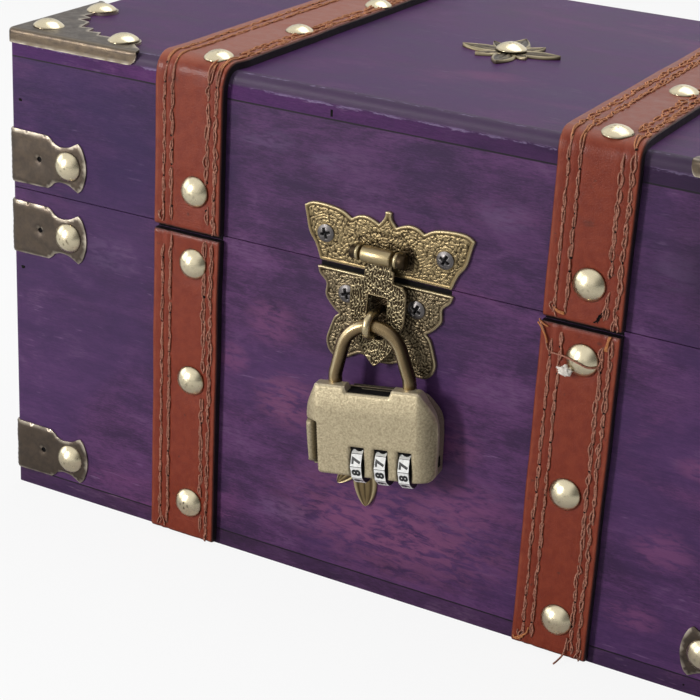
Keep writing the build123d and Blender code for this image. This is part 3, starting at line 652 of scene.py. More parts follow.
def wavy(s, seed, wave=18.0, count=5):
    """A slow wobble along a length: the mean of sines of random length and start, times 1.4."""
    source = np.random.default_rng(seed)
    s = np.asarray(s, float)
    return sum(
        np.sin(s * 2 * np.pi / (wave * source.uniform(0.6, 1.8)) + source.uniform(0, 6.28))
        for _ in range(count)
    ) / count * 1.4


def rounded(d, radius, top):
    """The height of a flat top whose rim is rounded: a quarter circle over the distance d from the rim."""
    inner = np.clip(radius - d, 0, radius)
    return top - radius + np.sqrt(np.maximum(radius**2 - inner**2, 0))


def arc(centre, radius, start, end, steps=6):
    """Points on a circle: the centre plus radius times cosine and sine, from a start to an end in degrees."""
    turn = np.radians(np.linspace(start, end, steps))
    return np.stack([centre[0] + radius * np.cos(turn), centre[1] + radius * np.sin(turn)], 1)


def front_place(x, z, out):
    """A spot before the front: out is the distance from the wood."""
    return np.stack([x, FRONT - out, z], 1)


def front_block(x, out, z):
    """The same spot, for a box whose second side is the distance from the wood."""
    return front_place(x, z, out)


def top_place(x, y, out):
    """A spot above the top."""
    return np.stack([x, y, TOP + out], 1)


# Boards keep the shape of the part and take wood, with the joints between boards as dark lines
BOARD_PAINTS = (
    (front_wood, "base_front_panel base_back_panel lid_front_rail lid_back_rail"),
    (side_wood, "base_left_panel base_right_panel lid_left_rail lid_right_rail"),
    (top_wood, "lid_top_board"),
    (foot_wood, "bottom_board"),
    (smooth_brass, "hinge_base_leaf_left hinge_base_leaf_right hinge_lid_leaf_left hinge_lid_leaf_right"),
    (smooth_brass, "hasp_pin"),
    (screw_grey, "hinge_base_screws hinge_lid_screws"),
    (pin_steel, "hinge_pins padlock_spindle"),
)
for paint, nodes in BOARD_PAINTS:
    for node in nodes.split():
        data = frame["nodes"][node].data
        data.materials.clear()
        data.materials.append(paint.material)
for paint in (front_wood, side_wood):
    board_lines(paint, [0.006, 0.003, 0.008], ((LID_JOINT - 0.2, 0.46), (BASE_JOINT + 0.2, 0.38)))


# Straps: a length s up the face, round the bend and over the top, a width t across and a height off the wood
def strap_path(lid, back=False):
    """Points and outward directions of the wood under a strap, by length, in the YZ plane.

    A base strap runs straight up its face. A lid strap goes up the front, round a quarter circle, over the
    top, round another quarter circle and down the back.
    """
    if not lid:
        face, way, high = (BACK, 1.0, PARTING - 2.6) if back else (FRONT, -1.0, PARTING - 1.4)
        points, ways = [[face, STRAP_FOOT], [face, high]], [[way, 0.0], [way, 0.0]]
        return np.array([0.0, high - STRAP_FOOT]), np.array(points), np.array(ways)
    bend = np.linspace(0, np.pi / 2, BEND_POINTS)
    r = 3.0
    front = np.stack([FRONT + r - r * np.cos(bend), TOP - r + r * np.sin(bend)], 1)
    rear = np.stack([BACK - r + r * np.sin(bend), TOP - r + r * np.cos(bend)], 1)
    points = np.concatenate([[[FRONT, LID_FOOT + 0.05]], front, rear, [[BACK, LID_FOOT + 2.6]]])
    up, down = np.stack([-np.cos(bend), np.sin(bend)], 1), np.stack([np.sin(bend), np.cos(bend)], 1)
    ways = np.concatenate([[[-1.0, 0.0]], up, down, [[1.0, 0.0]]])
    s = np.concatenate([[0], np.cumsum(np.hypot(*np.diff(points, axis=0).T))])
    return s, points, ways


def strap(
    name, centre, body, lid, tacks, seed, node, drift=(0.0, 0.0), back=False, slide=0.0, braid=0.0,
    stitch=(3.8, 6.8, 5.1, 2.6)
):
    """A leather strap with rounded dark edges, dents round its tacks and rows of stitches on both sides.

    Its surface is a height over s and t: a flat top with a rounded rim and slow waves, less a bell along each
    row of stitches and round each tack. drift moves and widens the strap on top of the lid.
    """
    path_s, path_p, path_n = strap_path(lid, back)
    total = path_s[-1]

    def on_top(s):
        """1 on top of the lid and 0 on its front and back, by the difference of two smooth steps."""
        return smooth(s, 46, 62) - smooth(s, total - 62, total - 46) if lid else 0 * np.asarray(s, float)

    def place(s, t, out):
        """The path's point at s, plus t across, plus out along the path's outward direction."""
        s = np.asarray(s, float)
        y, z = (np.interp(s, path_s, path_p[:, k]) for k in (0, 1))
        ny, nz = (np.interp(s, path_s, path_n[:, k]) for k in (0, 1))
        grow = np.hypot(ny, nz)
        wide = 1 + drift[1] * on_top(s)
        shift = drift[0] * on_top(s)
        return np.stack([centre + shift + t * wide, y + ny / grow * out, z + nz / grow * out], 1)

    half = STRAP_WIDE / 2
    lengths = np.unique(np.concatenate([np.arange(0, total, 0.8 * COARSE), [total]]))
    middle = np.linspace(-half + 1.6, half - 1.6, int(44 / COARSE))
    across = np.concatenate([np.linspace(-half, -half + 1.2, 6), middle, np.linspace(half - 1.2, half, 6)])
    s, t = np.meshgrid(lengths, across, indexing="ij")
    rim = smooth(np.abs(t), half - 4, half)
    wobble = 0.11 * np.where(t > 0, wavy(s, seed, 40), -wavy(s, seed + 1, 40)) * rim
    near = half - np.abs(t)
    high = rounded(near, 0.75, STRAP_THICK) + 0.05 * wavy(s, seed + 2, 60) + 0.015 * winding(s, t, 6.0, seed)
    rows = [-half + stitch[0], -half + stitch[1], half - stitch[2], half - stitch[3]]
    for row in rows:
        high -= 0.22 * bell(t, row, 0.8)
    high += 0.10 * bell(np.abs(t), half - 4.8, 0.8)
    for ts, tt in tacks:
        high -= 0.35 * np.exp(-((np.hypot(s - ts, t - tt) / 7.0) ** 4))
    ends = np.minimum(s, total - s)
    high -= 0.5 * fade(ends, 0, 0.9) ** 2
    dark = np.clip(fade(near, 0.05, 0.45) + 0.8 * fade(ends, 0.0, 0.45), 0, 1)
    beside_edge = smooth(near, 0.35, 0.9) - smooth(near, 0.9, 1.6)
    worn = np.clip(beside_edge * (0.35 + 0.3 * wavy(s, seed + 5, 9)), 0, 1)
    shape = Shape()
    rows_n, cols = s.shape
    top = place(s.ravel(), (t + wobble).ravel(), high.ravel())
    shape.add(top, grid_faces(rows_n, cols), dark=dark.ravel(), worn=worn.ravel())
    ring = list(range(cols)) + [a * cols + cols - 1 for a in range(1, rows_n)]
    ring += [(rows_n - 1) * cols + k for k in range(cols - 2, -1, -1)]
    ring += [a * cols for a in range(rows_n - 2, 0, -1)]
    under = place(s.ravel()[ring], (t + wobble).ravel()[ring], np.full(len(ring), 0.02))
    n = len(ring)
    walls = [(k, (k + 1) % n, (k + 1) % n + n, k + n) for k in range(n)]
    shape.add(np.concatenate([top[ring], under]), walls, dark=1.0)
    shape.piece(name, leather, body, "strap_leather", node)
    sew(name, body, place, on_top, total, lid, rows, tacks, seed, slide, braid)


def sew(name, body, place, on_top, total, lid, rows, tacks, seed, slide, braid):
    """Rows of stitches of two or three strands with a black hole beside each, left out round the tacks.

    A strand runs along its stitch with a slant, a sideways bow that is a power of a half sine, and a ripple.
    It rises out of the leather by another power of that half sine. At the strap's foot some ends hang loose.
    """
    stitches, holes = Shape(), Shape()
    source = np.random.default_rng(seed + 40)
    u = np.linspace(0, 1, 8)
    lift = np.sin(np.pi * u)
    for number, row in enumerate(rows):
        plain = 1.0 if number < 2 else 1.55
        at = 2.4 + source.uniform(0, 1.5)
        while at < total - 5.5:
            length = 4.5 + source.uniform(-0.35, 0.35)
            slid = slide * (number > 1) * on_top(np.array(at))
            loose = plain + braid * float(on_top(np.array(at)))
            free = 4.6 if lid and at > 40 else 5.9
            if not any(np.hypot(at + length / 2 - ts, row + slid - tt) < free for ts, tt in tacks):
                side = 1 if source.random() < 0.5 else -1
                for strand in range(3 if source.random() < 0.6 * loose else 2):
                    bow = (0.30, -0.28, 0.45)[strand] * side * source.uniform(0.3, 1.4) * loose
                    first, last = source.normal(0, 0.15, 2) * loose
                    begin = at + source.uniform(-0.8, 0.3) * loose
                    stretch = length * source.uniform(0.75, 1.3)
                    line_s = np.clip(begin + u * stretch, 1.0, total - 1.0)
                    ripple = 0.09 * np.sin(u * 9 + source.uniform(0, 6))
                    line_t = row + slid + first + (last - first) * u + bow * lift**0.8 + ripple
                    rise = 0.28 + 0.11 * strand + source.uniform(0, 0.12)
                    out = STRAP_THICK - 0.30 + rise * np.abs(lift) ** 0.35
                    tube(stitches, place(line_s, line_t, out), 0.23 + 0.07 * source.random(), 6)
            # A black dot beside a stitch: painted shade in its hole
            beside = row + slid + source.normal(0, 0.16)
            if source.random() < (0.85 if number < 2 else 0.55):
                heights = STRAP_THICK + np.array([-0.45, 0.08])
                spot = place(np.array([at, at]), np.array([beside, beside]), heights)
                mouth = [(0.34 + 0.12 * source.random(), 0.0), (0.28, 0.06)]
                lathe(holes, mouth, spot[1], spot[1] - spot[0], 8)
            at += length
    for row, reach in ((rows[0], 5), (rows[3], 7)):
        for strand in range(3):
            line_s = 4.5 - u * (reach * source.uniform(0.45, 0.75)) + source.uniform(-0.5, 0.5)
            line_s = np.maximum(line_s, 0.25)
            across = row + source.normal(0, 0.5)
            line_t = across + 0.7 * np.sin(u * source.uniform(1.5, 4) + source.uniform(0, 6))
            tube(stitches, place(line_s, line_t, STRAP_THICK + 0.12 + 0.25 * u), 0.22, 6)
    stitches.piece(name + "_thread", thread, body, None)
    holes.piece(name + "_holes", black, body, None)


left_tack, right_tack = -STRAP_X + 2.7, STRAP_X + 1.4
tack_rows = (100.2, 58.2, 13.6)
top_rows = [FRONT + share * 172.0 for share in (0.025, 0.29, 0.59, 0.89)]
LID_TACK = 124.3


def base_dents(x):
    """The lengths along a base strap that its tacks press, and the same shift across for all."""
    return [(z - STRAP_FOOT, x) for z in tack_rows]


def lid_dents(x, top_x):
    """The lengths along a lid strap that its tacks press: in front, past the first bend and at the back."""
    s, p, _ = strap_path(True)
    bent, edge = s[BEND_POINTS], p[BEND_POINTS][0]
    dents = [(LID_TACK - p[0][1], x)] + [(bent + (y - edge), top_x) for y in top_rows]
    return dents + [(s[-2] + (p[-2][1] - LID_TACK), 0.0)]


strap("strap_base_left", -STRAP_X, "base", False, base_dents(2.7), 1, "base_strap_front_left")
strap("strap_base_right", STRAP_X, "base", False, base_dents(1.4), 2, "base_strap_front_right")
strap("strap_base_back_left", -STRAP_X, "base", False, base_dents(0.0), 3, "base_strap_back_left", back=True)
strap("strap_base_back_right", STRAP_X, "base", False, base_dents(0.0), 4, "base_strap_back_right", back=True)
left_way = {"drift": (1.9, 0.06), "slide": 0.8, "braid": 0.3, "stitch": (3.8, 6.7, 5.0, 2.3)}
right_way = {"drift": (-0.6, 0.0), "slide": 0.3, "braid": 1.4, "stitch": (3.7, 7.2, 5.4, 2.2)}
strap("strap_lid_left", -STRAP_X, "lid", True, lid_dents(2.7, 5.5), 5, "lid_strap_left", **left_way)
strap("strap_lid_right", STRAP_X, "lid", True, lid_dents(1.4, 3.6), 6, "lid_strap_right", **right_way)


# Domes
def domes(name, seats, body, *nodes):
    """Dome tacks: a low circular arc turned round each seat's direction, slightly tilted, dented and pitted,
    with a painted shadow darkening the brim.

    A seat is a place, the way out and the dome's height h. The arc's radius is (r * r + h * h) / (2 * h).
    """
    shape = Shape()
    for n, (origin, way, h) in enumerate(seats):
        r = 5.25 if h > 2.2 else 4.8
        origin = np.asarray(origin, float)
        curve = (r * r + h * h) / (2 * h)
        turn = np.linspace(math.asin(r / curve), 0, 14)[1:]
        profile = [(r - 0.3, -0.2), (r - 0.05, -0.1), (r, 0.05), (r - 0.03, 0.2)]
        profile += [(curve * math.sin(a), 0.2 + h - curve * (1 - math.cos(a))) for a in turn]
        way = np.asarray(way, float) + random.normal(0, 0.025, 3)
        way /= np.linalg.norm(way)
        points, faces = turned(profile, origin, way, 40)
        dents = winding(points[:, 0] + 7 * n, points[:, 1] * 0.7 + points[:, 2], 4.2, n) * 0.012
        points += np.outer(dents, way)
        spots = winding(points[:, 0] * 1.1, points[:, 1] + points[:, 2], 1.7, n + 90)
        middle = np.linalg.norm(points - (origin + way * h) - random.normal(0, 0.4, 3), axis=1)
        pit = smooth(spots, 0.7, 1.7) * fade(middle, 1.0, 2.8) * random.uniform(0.3, 1.0)
        along = (points - origin) @ way
        # A painted contact shadow: the brim is darkened round the dome's foot
        brim_shade = smooth(np.linalg.norm(points - origin - np.outer(along, way), axis=1), r - 0.4, r - 0.05)
        shape.add(points, faces, pit=np.clip(np.maximum(pit, 0.75 * brim_shade), 0, 1))
    shape.piece(name, dome_brass, body, "pale_brass", *nodes)


FACE = {"front": (0, -1, 0), "back": (0, 1, 0), "left": (-1, 0, 0), "right": (1, 0, 0), "top": (0, 0, 1)}


def seat(face, across, up, lift, high=2.9):
    """A spot on a face and the way out of it. across is X, or Y on the sides. up is Z, or Y on the top."""
    out = {
        "front": (across, FRONT - lift, up),
        "back": (across, BACK + lift, up),
        "left": (-RIGHT - lift, across, up),
        "right": (RIGHT + lift, across, up),
        "top": (across, up, TOP + lift),
    }[face]
    return np.array(out, float), FACE[face], high


LOW, MIDDLE, HIGH = 15.0, 97.5, 122.5
base_seats = [seat("front", left_tack, z, 2.75) for z in (100.2, 59.0, 13.6)]
right_spots = ((right_tack, 100.2), (right_tack - 1.0, 56.0), (right_tack + 0.5, 12.8))
base_seats += [seat("front", x, z, 2.75) for x, z in right_spots]
base_seats += [seat("back", x, z, 2.75) for x in (-STRAP_X, STRAP_X) for z in tack_rows]
emblem_front = (-1.3, 48.0)
base_seats.append(seat("front", *emblem_front, 1.2))
domes("tacks_base_straps", base_seats, "base", "base_strap_tacks")
lid_seats = [seat("front", left_tack, 124.6, 2.75), seat("front", right_tack - 0.3, 123.7, 2.75)]
lid_seats += [seat("back", x, LID_TACK, 2.75) for x in (-STRAP_X, STRAP_X)]
top_left, top_right = (-62.0, -59.4, -57.4, -61.0), (70.4, 71.0, 71.6, 71.0)
further_back = (0.0, 8.5, 6.0, 0.0)
for n, y in enumerate(top_rows):
    lift, way = (2.55, (0, -0.12, 1)) if n == 0 else (2.75, (0, 0, 1))
    for x, back in ((top_left[n], 0.0), (top_right[n], further_back[n])):
        lid_seats.append((np.array([x, y + back, TOP + lift]), way, 2.1))
emblem_top = (4.0, FRONT + 79.5)
lid_seats.append(seat("top", *emblem_top, 1.35, 2.25))
domes("tacks_lid_straps", lid_seats, "lid", "lid_strap_tacks")


def bracket_seats(height):
    """Seats on both lobes of the four brackets at one height."""
    along, deep = RIGHT - 23.3, BACK - 23.3
    out = [seat(face, x, height, 0.75) for face in ("front", "back") for x in (-along, along)]
    return out + [seat(face, y, height, 0.75) for face in ("left", "right") for y in (-deep, deep)]


domes("tacks_base_brackets", bracket_seats(LOW) + bracket_seats(MIDDLE), "base", "base_bracket_tacks")
cap_spots = ((9.0, 9.0), (39.0, 8.6), (8.7, 38.9))
cap_seats = [
    seat("top", sx * (RIGHT - a), sy * (BACK - b), 0.75, 2.3)
    for sx in (-1, 1)
    for sy in (-1, 1)
    for a, b in cap_spots
]
domes("tacks_lid_brackets", bracket_seats(HIGH) + cap_seats, "lid", "lid_bracket_tacks")


# Edge brackets: one outline wrapped round each upright corner
half_outline = [(17.4, 6.9), (19.8, 6.1), (23.1, 6.4), (25.1, 7.3), (27.2, 8.5)]
tail = through([(27.2, 8.5), (28.6, 7.2), (29.6, 5.0), (30.3, 2.4), (30.5, 0.0)], 4)
quarter = np.concatenate([[(0.0, 9.3), (14.9, 9.05), (16.3, 8.1)], through(half_outline, 4), tail[1:]])
lobe = np.concatenate([quarter, quarter[::-1][1:] * (1, -1)])
bracket_loop = np.concatenate([lobe, (lobe * (-1, 1))[::-1][1:-1]])[::-1]
nail_hole = arc((0.0, 0.0), 0.95, 0, 330, 12)
nail_spots = ((11.5, 0.3), (-11.5, -0.2))


def bracket(name, sx, sy, level, body, node, seed):
    """A pressed bracket: across is the distance from the corner, minus on the side, bent round its radius."""

    def place(a, z, out):
        """On the face past the radius, on the side past minus the radius, and a quarter turn between."""
        r = 1.2
        turn = np.clip(a / r, -1, 1) * np.pi / 4 + np.pi / 4
        bend_x, bend_y = -RIGHT + r - (r + out) * np.cos(turn), FRONT + r - (r + out) * np.sin(turn)
        x = np.where(a > r, -RIGHT + a, np.where(a < -r, -RIGHT - out, bend_x))
        y = np.where(a > r, FRONT - out, np.where(a < -r, FRONT - a, bend_y))
        return np.stack([-sx * x if sx > 0 else x, -y if sy > 0 else y, level + z], 1)

    def height(a, z, d):
        """A flat top with a rounded rim and winding dents. The rim is painted bright, as rubbed metal and as
        a highlight, except round the nail holes.
        """
        dent = 0.05 * winding(a, z, 9.0, seed)
        edge = fade(d, 0.10, 0.42) * smooth(np.abs(np.abs(a) - 11.5) + np.abs(z), 1.4, 1.8)
        bright = np.clip(edge * (0.55 + 0.25 * winding(a, z, 6.0, seed + 3)), 0, 1)
        return rounded(d, 0.3, 0.8) + dent * smooth(d, 0.2, 2.0), {"edge": bright}

    shape = Shape()
    holes = [nail_hole + spot for spot in nail_spots]
    plate(shape, [bracket_loop, *holes], 1.1, height, place, flip=(sx > 0) == (sy > 0))
    shape.piece(name, bronze, body, "dark_bronze", node)
    # Black discs under the nail holes: painted shade in the holes
    hollow = Shape()
    for a, z in nail_spots:
        spot = place(np.array([a, a]), np.array([z, z]), np.array([0.02, 0.12]))
        lathe(hollow, [(1.0, 0.0), (0.9, 0.02)], spot[1], spot[1] - spot[0], 10)
    hollow.piece(name + "_hole", black, body, None)


corner_names = {"front_left": (-1, -1), "front_right": (1, -1), "back_left": (-1, 1), "back_right": (1, 1)}
for number, (corner, (sx, sy)) in enumerate(corner_names.items()):
    bracket("bracket_low_" + corner, sx, sy, LOW, "base", "base_lower_bracket_" + corner, number)
    bracket("bracket_mid_" + corner, sx, sy, MIDDLE, "base", "base_upper_bracket_" + corner, number + 10)
    bracket("bracket_lid_" + corner, sx, sy, HIGH, "lid", "lid_bracket_" + corner, number + 20)


# Corner caps: two flanges bent over the edges and a flat top with a jagged inner edge
cap_reach = 50.3
cap_inner = np.array([(31.0, 9.4), (28.8, 8.8), (27.2, 12.6), (23.2, 11.2), (22.0, 15.8), (17.6, 15.0)])
BEND, THICK, DEEP, END = 1.5, 0.8, 4.9, 3.6
cap_tip = [(cap_reach, BEND - THICK), (cap_reach - 0.6, 2.2), (cap_reach - 3.4, 4.4), (45.2, 6.0)]
cap_arm = np.concatenate([cap_tip, arc((39.2, 8.5), 5.7, -18, 170, 14), cap_inner])
cap_loop = np.concatenate([[(BEND - THICK, BEND - THICK)], cap_arm, cap_arm[::-1][1:, ::-1]])


def corner_cap(corner, sx, sy, seed):
    """A flat top over its outline, and a flange as a grid: along runs round the corner and q over the edge.

    The inset is the bend times 1 minus sin q, the drop is the bend times 1 minus cos q, then straight down.
    Both ends of the flange fall off on a quarter circle.
    """

    def place(a, b, z):
        """Distances a and b from the two faces. The front right cap has a shorter arm along the front."""
        if corner == "front_right":
            a = np.where(a > 42, 42 + (a - 42) * 0.42, a)
        return np.stack([sx * (RIGHT - a), sy * (BACK - b), z], 1)

    def height(a, b, d):
        """The flat top, painted bright on its rim away from the corner as rubbed metal and a highlight, and
        warmer where slow waves are high.
        """
        edge = fade(d, 0.08, 0.40) * smooth(np.minimum(a, b), 1.5, 3.0)
        warm = np.clip(0.10 + 0.15 * winding(a, b, 7.0, seed), 0, 1)
        return TOP + THICK + 0.0 * a, {"edge": np.clip(edge * 0.9, 0, 1), "warm": warm}

    shape = Shape()
    mirror = (sx > 0) != (sy > 0)
    plate(shape, [cap_loop[::-1]], 1.6, height, place, flip=not mirror, foot=TOP + 0.02)
    q = np.linspace(0, np.pi / 2, 7)
    inset = np.concatenate([-THICK + BEND * (1 - np.sin(q)), np.full(4, -THICK)])
    drop = np.concatenate([BEND * (1 - np.cos(q)), BEND + (DEEP - BEND) * np.array([0.3, 0.6, 0.9, 1.0])])
    tip = cap_reach - END * (1 - np.sin(np.linspace(np.pi / 2, 0, 9)))
    along = np.concatenate([tip, np.linspace(cap_reach - 4, 4, 24)])
    rings = []
    for i, fall in zip(inset, drop):
        r = max(2.0 - (i + THICK), 0.5)
        turn = np.linspace(0, np.pi / 2, 7)
        bend = np.stack([i + r - r * np.sin(turn), i + r - r * np.cos(turn)], 1)
        arm = np.stack([along, np.full(len(along), i)], 1)
        ab = np.concatenate([arm, bend, arm[::-1, ::-1]])
        end = np.clip((np.maximum(ab[:, 0], ab[:, 1]) - (cap_reach - END)) / END, 0, 1)
        deep = DEEP - END * (1 - np.sqrt(1 - end**2))
        rings.append(np.column_stack([ab, TOP + THICK - np.minimum(fall, fall * deep / DEEP)]))
    rows, cols = len(rings), len(rings[0])
    flat = np.concatenate(rings)
    # Painted light on the flange: bright rows at the bend and at the foot as highlights, and warmer and
    # lighter in patches where it faces the light
    edge = np.repeat(np.array([0.0, 0.15, 0.2, 0.1] + [0.0] * (rows - 6) + [0.45, 1.0]), cols)
    patches = np.clip(0.55 + 0.42 * winding(flat[:, 0] - flat[:, 1], flat[:, 2] * 2, 5.0, seed), 0, 1)
    warm = np.repeat(smooth(drop, 0.2, 1.3), cols) * patches
    shape.add(place(*flat.T), grid_faces(rows, cols), flip=mirror, edge=edge, warm=warm)
    rim = flat[(rows - 1) * cols :]
    under = rim.copy()
    under[:, :2] += np.where(rim[:, :2] == rim[:, :2].min(1)[:, None], 0.72, 0)
    pair = np.concatenate([rim, under])
    walls = [(k, k + cols, k + cols + 1, k + 1) for k in range(cols - 1)]
    shape.add(place(*pair.T), walls, flip=mirror, edge=0.8)
    shape.piece("cap_" + corner, bronze, "lid", "dark_bronze", "lid_corner_cap_" + corner)


for number, (corner, (sx, sy)) in enumerate(corner_names.items()):
    corner_cap(corner, sx, sy, 60 + number)


# Flower plates
def petal(shape, centre, turn, reach, half, place, base, dull):
    """A leaf whose half width is a power of a sine of its length u, over its width v from -1 to 1.

    Its height rises with a sine and a power of u, and adds a bell for the rim and one for each lobe. It is
    dark in the grooves, which are bells too, and in hollows where two sines of u and v add up high.
    """
    u, v = np.meshgrid(np.linspace(0, 1, 26) ** 0.9, np.linspace(-1, 1, 21), indexing="ij")
    wide = half * np.sin(np.pi * (0.10 + 0.90 * u) ** 1.12) ** (0.80 if dull > 0.5 else 0.62)
    x, y = u * reach, v * wide
    edge = 1 - np.abs(v)
    rim = bell(edge, 0.16, 0.11)
    lobes = bell(np.abs(v), 0.24, 0.16)
    high = base + 0.12 + 0.35 * np.sin(np.pi * u) + 0.75 * u**4
    high = high + 0.30 * rim + 0.38 * lobes * smooth(1 - u, 0.0, 0.25)
    high = high * smooth(edge, -0.02, 0.08) + base * fade(edge, -0.02, 0.08)
    groove = bell(np.abs(v), 0.56, 0.11) + bell(v, 0, 0.07) * smooth(1 - u, 0.02, 0.2)
    waves = np.sin(u * 23 + v * 9 + turn * 5) + np.sin(u * 11 - v * 17)
    hollow = smooth(waves, 0.2, 1.4) * smooth(edge, 0.2, 0.4)
    bright = rim
    low = groove * 0.9
    if dull > 0.5:
        bright = rim**2 + 0.4 * (1 - hollow) * (1 - rim) * smooth(v, -0.2, 0.8)
        low = low + (0.30 * smooth(edge, 0.25, 0.5) + 0.55 * hollow)
    low = np.clip(low, 0, 0.95)
    bright = bright * 0.95 * (1 - low)
    c, s = math.cos(turn), math.sin(turn)
    px, py = (centre[0] + x * c - y * s).ravel(), (centre[1] + x * s + y * c).ravel()
    high = high.ravel()
    rows, cols = u.shape
    shape.add(place(px, py, high), grid_faces(rows, cols), low=low.ravel(), dull=dull, edge=bright.ravel())
    for side in (0, cols - 1):
        line = [a * cols + side for a in range(rows)]
        top = place(px[line], py[line], high[line])
        foot = place(px[line], py[line], np.zeros(rows))
        walls = [(k, k + 1, k + 1 + rows, k + rows) for k in range(rows - 1)]
        shape.add(np.concatenate([top, foot]), walls, low=0.3)


def emblem(name, centre, turn, place, body, node, half=3.8, dull=0.6):
    """Four long and four short petals round a dome."""
    shape = Shape()
    for n in range(4):
        short = 8.6 + half + (0.6, -0.2, 1.0, -2.4)[n]
        petal(shape, centre, math.radians(turn + 45 + 90 * n), short, 0.7 * half, place, 0.1, dull)
        petal(shape, centre, math.radians(turn + 90 * n), 16.9, half, place, 0.2, dull)
    shape.piece(name, relief, body, "antique_brass", node)


emblem("emblem_top", emblem_top, 7.0, top_place, "lid", "lid_emblem", 3.8, 0.95)
emblem("emblem_front", emblem_front, 8.0, front_place, "base", "front_emblem", 4.3, 0.0)


# Hasp plates: the pressed ground winds, the rim stays plain behind a groove
def mirrored(points):
    """A closed outline from its right half, which runs from the top middle to the bottom middle."""
    points = np.asarray(points, float)
    left = points[::-1] * (-1, 1)
    return np.concatenate([points, left])[::-1]


def pressed(seed, wave, rim, top, line, depth, bosses=(), frame=0.0, raised=False, bright=0.8, dull=0.0):
    """The height of a pressed plate: rounded rim, groove, winding ground, with flat rings round its screws.

    The ground's lines are where the winding waves cross zero, broken where slower waves are low: grooves, or
    ridges where raised. frame adds a second line inside the rim.
    """

    def height(x, y, d):
        """The plate's height and values at a distance d from its rim."""
        lines = fade(np.abs(winding(x, y, wave, seed, 26, 0.4, 0.3)), *line)
        lines = lines * smooth(winding(x, y, wave * 0.72, seed + 31, 22), -1.0, -0.35)
        field = smooth(d, rim, rim + 0.25)
        groove = bell(d, rim + 0.05, 0.20) if rim > 0.6 else 0 * d
        inner = frame * bell(d, rim + 1.9 + 0.3 * np.sin(x * 1.7 + y), 0.17)
        for bx, by in bosses:
            away = np.hypot(x - bx, y - by)
            field = field * smooth(away, 3.1, 3.4)
            inner = np.maximum(inner * smooth(away, 4.4, 4.8), frame * bell(away, 4.3, 0.17))
        dark = (1 - lines) if raised else lines
        high = rounded(d, 0.35, top) + 0.15 * smooth(d, 0.5, 6.0)
        high = high - 0.30 * dark * field - 0.22 * groove - 0.22 * inner * field
        low = np.clip(dark * field * depth + groove * 0.75 + inner * field, 0, 1)
        # The rim is painted bright: rubbed brass, and a painted highlight
        rise = fade(d, 0.1, 0.6) * bright + (1 - dark) * field * (0.55 if raised else 0.12)
        return high, {"low": low, "edge": np.clip(rise, 0, 1), "dull": dull + 0 * d}

    return height


def with_arch(made):
    """The upper plate with a dark beaded arch, a bell of the distance from the barrel, and painted shade."""

    def height(x, y, d):
        """The plate's height less the arch. The arch, a painted shade under the barrel and a painted shadow
        beside it are dark.
        """
        high, values = made(x, y, d)
        dx, dy = x - HASP_X, y - 117.6
        away = np.hypot(np.maximum(np.abs(dx) - 3.4, 0), dy)
        bead = 0.75 + 0.25 * np.cos(np.arctan2(dy, dx) * 34)
        arch = bell(away, 6.3, 0.55) * smooth(dy, 0.5, 2.0) * bead
        # Painted shade under the barrel, and a painted shadow beside it on the right
        shade = fade(away, 3.6, 6.2) * smooth(dy, -1.0, 1.5) * 0.5
        shadow_beside_barrel = fade(((x - HASP_X - 7.3) / 2.9) ** 2 + ((y - 117.8) / 4.2) ** 2, 0.75, 1.2)
        shade = np.maximum(shade, 0.9 * shadow_beside_barrel)
        values["low"] = np.clip(values["low"] + 0.75 * arch + shade, 0, 1)
        values["edge"] = values["edge"] * (1 - np.clip(arch + shade, 0, 1))
        return high - 0.2 * arch, values

    return height


def with_shadow(made):
    """The lower plate with a painted shadow, black behind the flap's slot."""

    def height(x, y, d):
        """The plate's height, with smooth steps across and up that paint the shadow at the slot's place."""
        high, values = made(x, y, d)
        # Painted shadow behind the flap's slot
        hole = fade(np.abs(x - HASP_X), 3.4, 4.0) * smooth(y, 88.5, 90.0) * fade(y, 105.6, 107.0)
        values["low"] = np.maximum(values["low"], hole)
        values["edge"] = values["edge"] * (1 - hole)
        return high, values

    return height


# The upper plate, with the two knuckles that hold the pin. The right one has a longer end. Both ends
# are painted dark as shade, and a ring next to the barrel bright as a highlight
wing_top = through([(29.1, 128.1), (26.2, 129.6), (21.2, 129.7), (16.0, 128.9), (12.4, 127.0)], 6)
brow = through([(12.4, 127.0), (10.2, 128.3), (7.3, 128.7), (4.6, 127.9), (3.0, 127.1)], 5)
finial = through([(3.0, 127.1), (1.5, 129.0), (1.0, 130.6), (1.1, 131.3), (0.0, 131.6)], 4)
side_line = [
    (29.1, 128.1), (28.2, 124.6), (27.4, 121.0), (26.4, 118.8), (24.9, 116.8), (23.7, 114.3), (22.8, 111.8)
]
wing_side = through(side_line, 6)
lid_half = np.concatenate(
    [finial[::-1], brow[::-1][1:], wing_top[::-1][1:], wing_side[1:], [(22.6, 111.5), (0.01, 111.5)]]
)
lid_loop = mirrored(lid_half) + (HASP_X, 0)
lid_screws = [(HASP_X - 20.8, 120.6), (HASP_X + 20.2, 120.6)]
PIN_X, PIN_Y, PIN_Z = HASP_X - 1.1, FRONT - 4.1, 118.0
KNUCKLE = [(0.0, -0.02), (1.9, 0.0), (2.3, 0.12), (2.55, 0.3), (2.55, 0.95), (2.3, 1.15)]
KNUCKLE_ENDS = {
    -1: [(2.15, 1.3), (2.15, 2.6), (1.9, 3.2), (1.2, 3.5), (0.0, 3.55)],
    1: [(2.45, 1.3), (2.5, 2.6), (2.3, 3.6), (1.5, 4.0), (0.0, 4.05)],
}
shape = Shape()
upper_ground = pressed(3, 1.95, 1.15, 1.2, (0.16, 0.60), 0.85, lid_screws, frame=0.8)
plate(shape, [lid_loop], 0.21, with_arch(upper_ground), front_place)
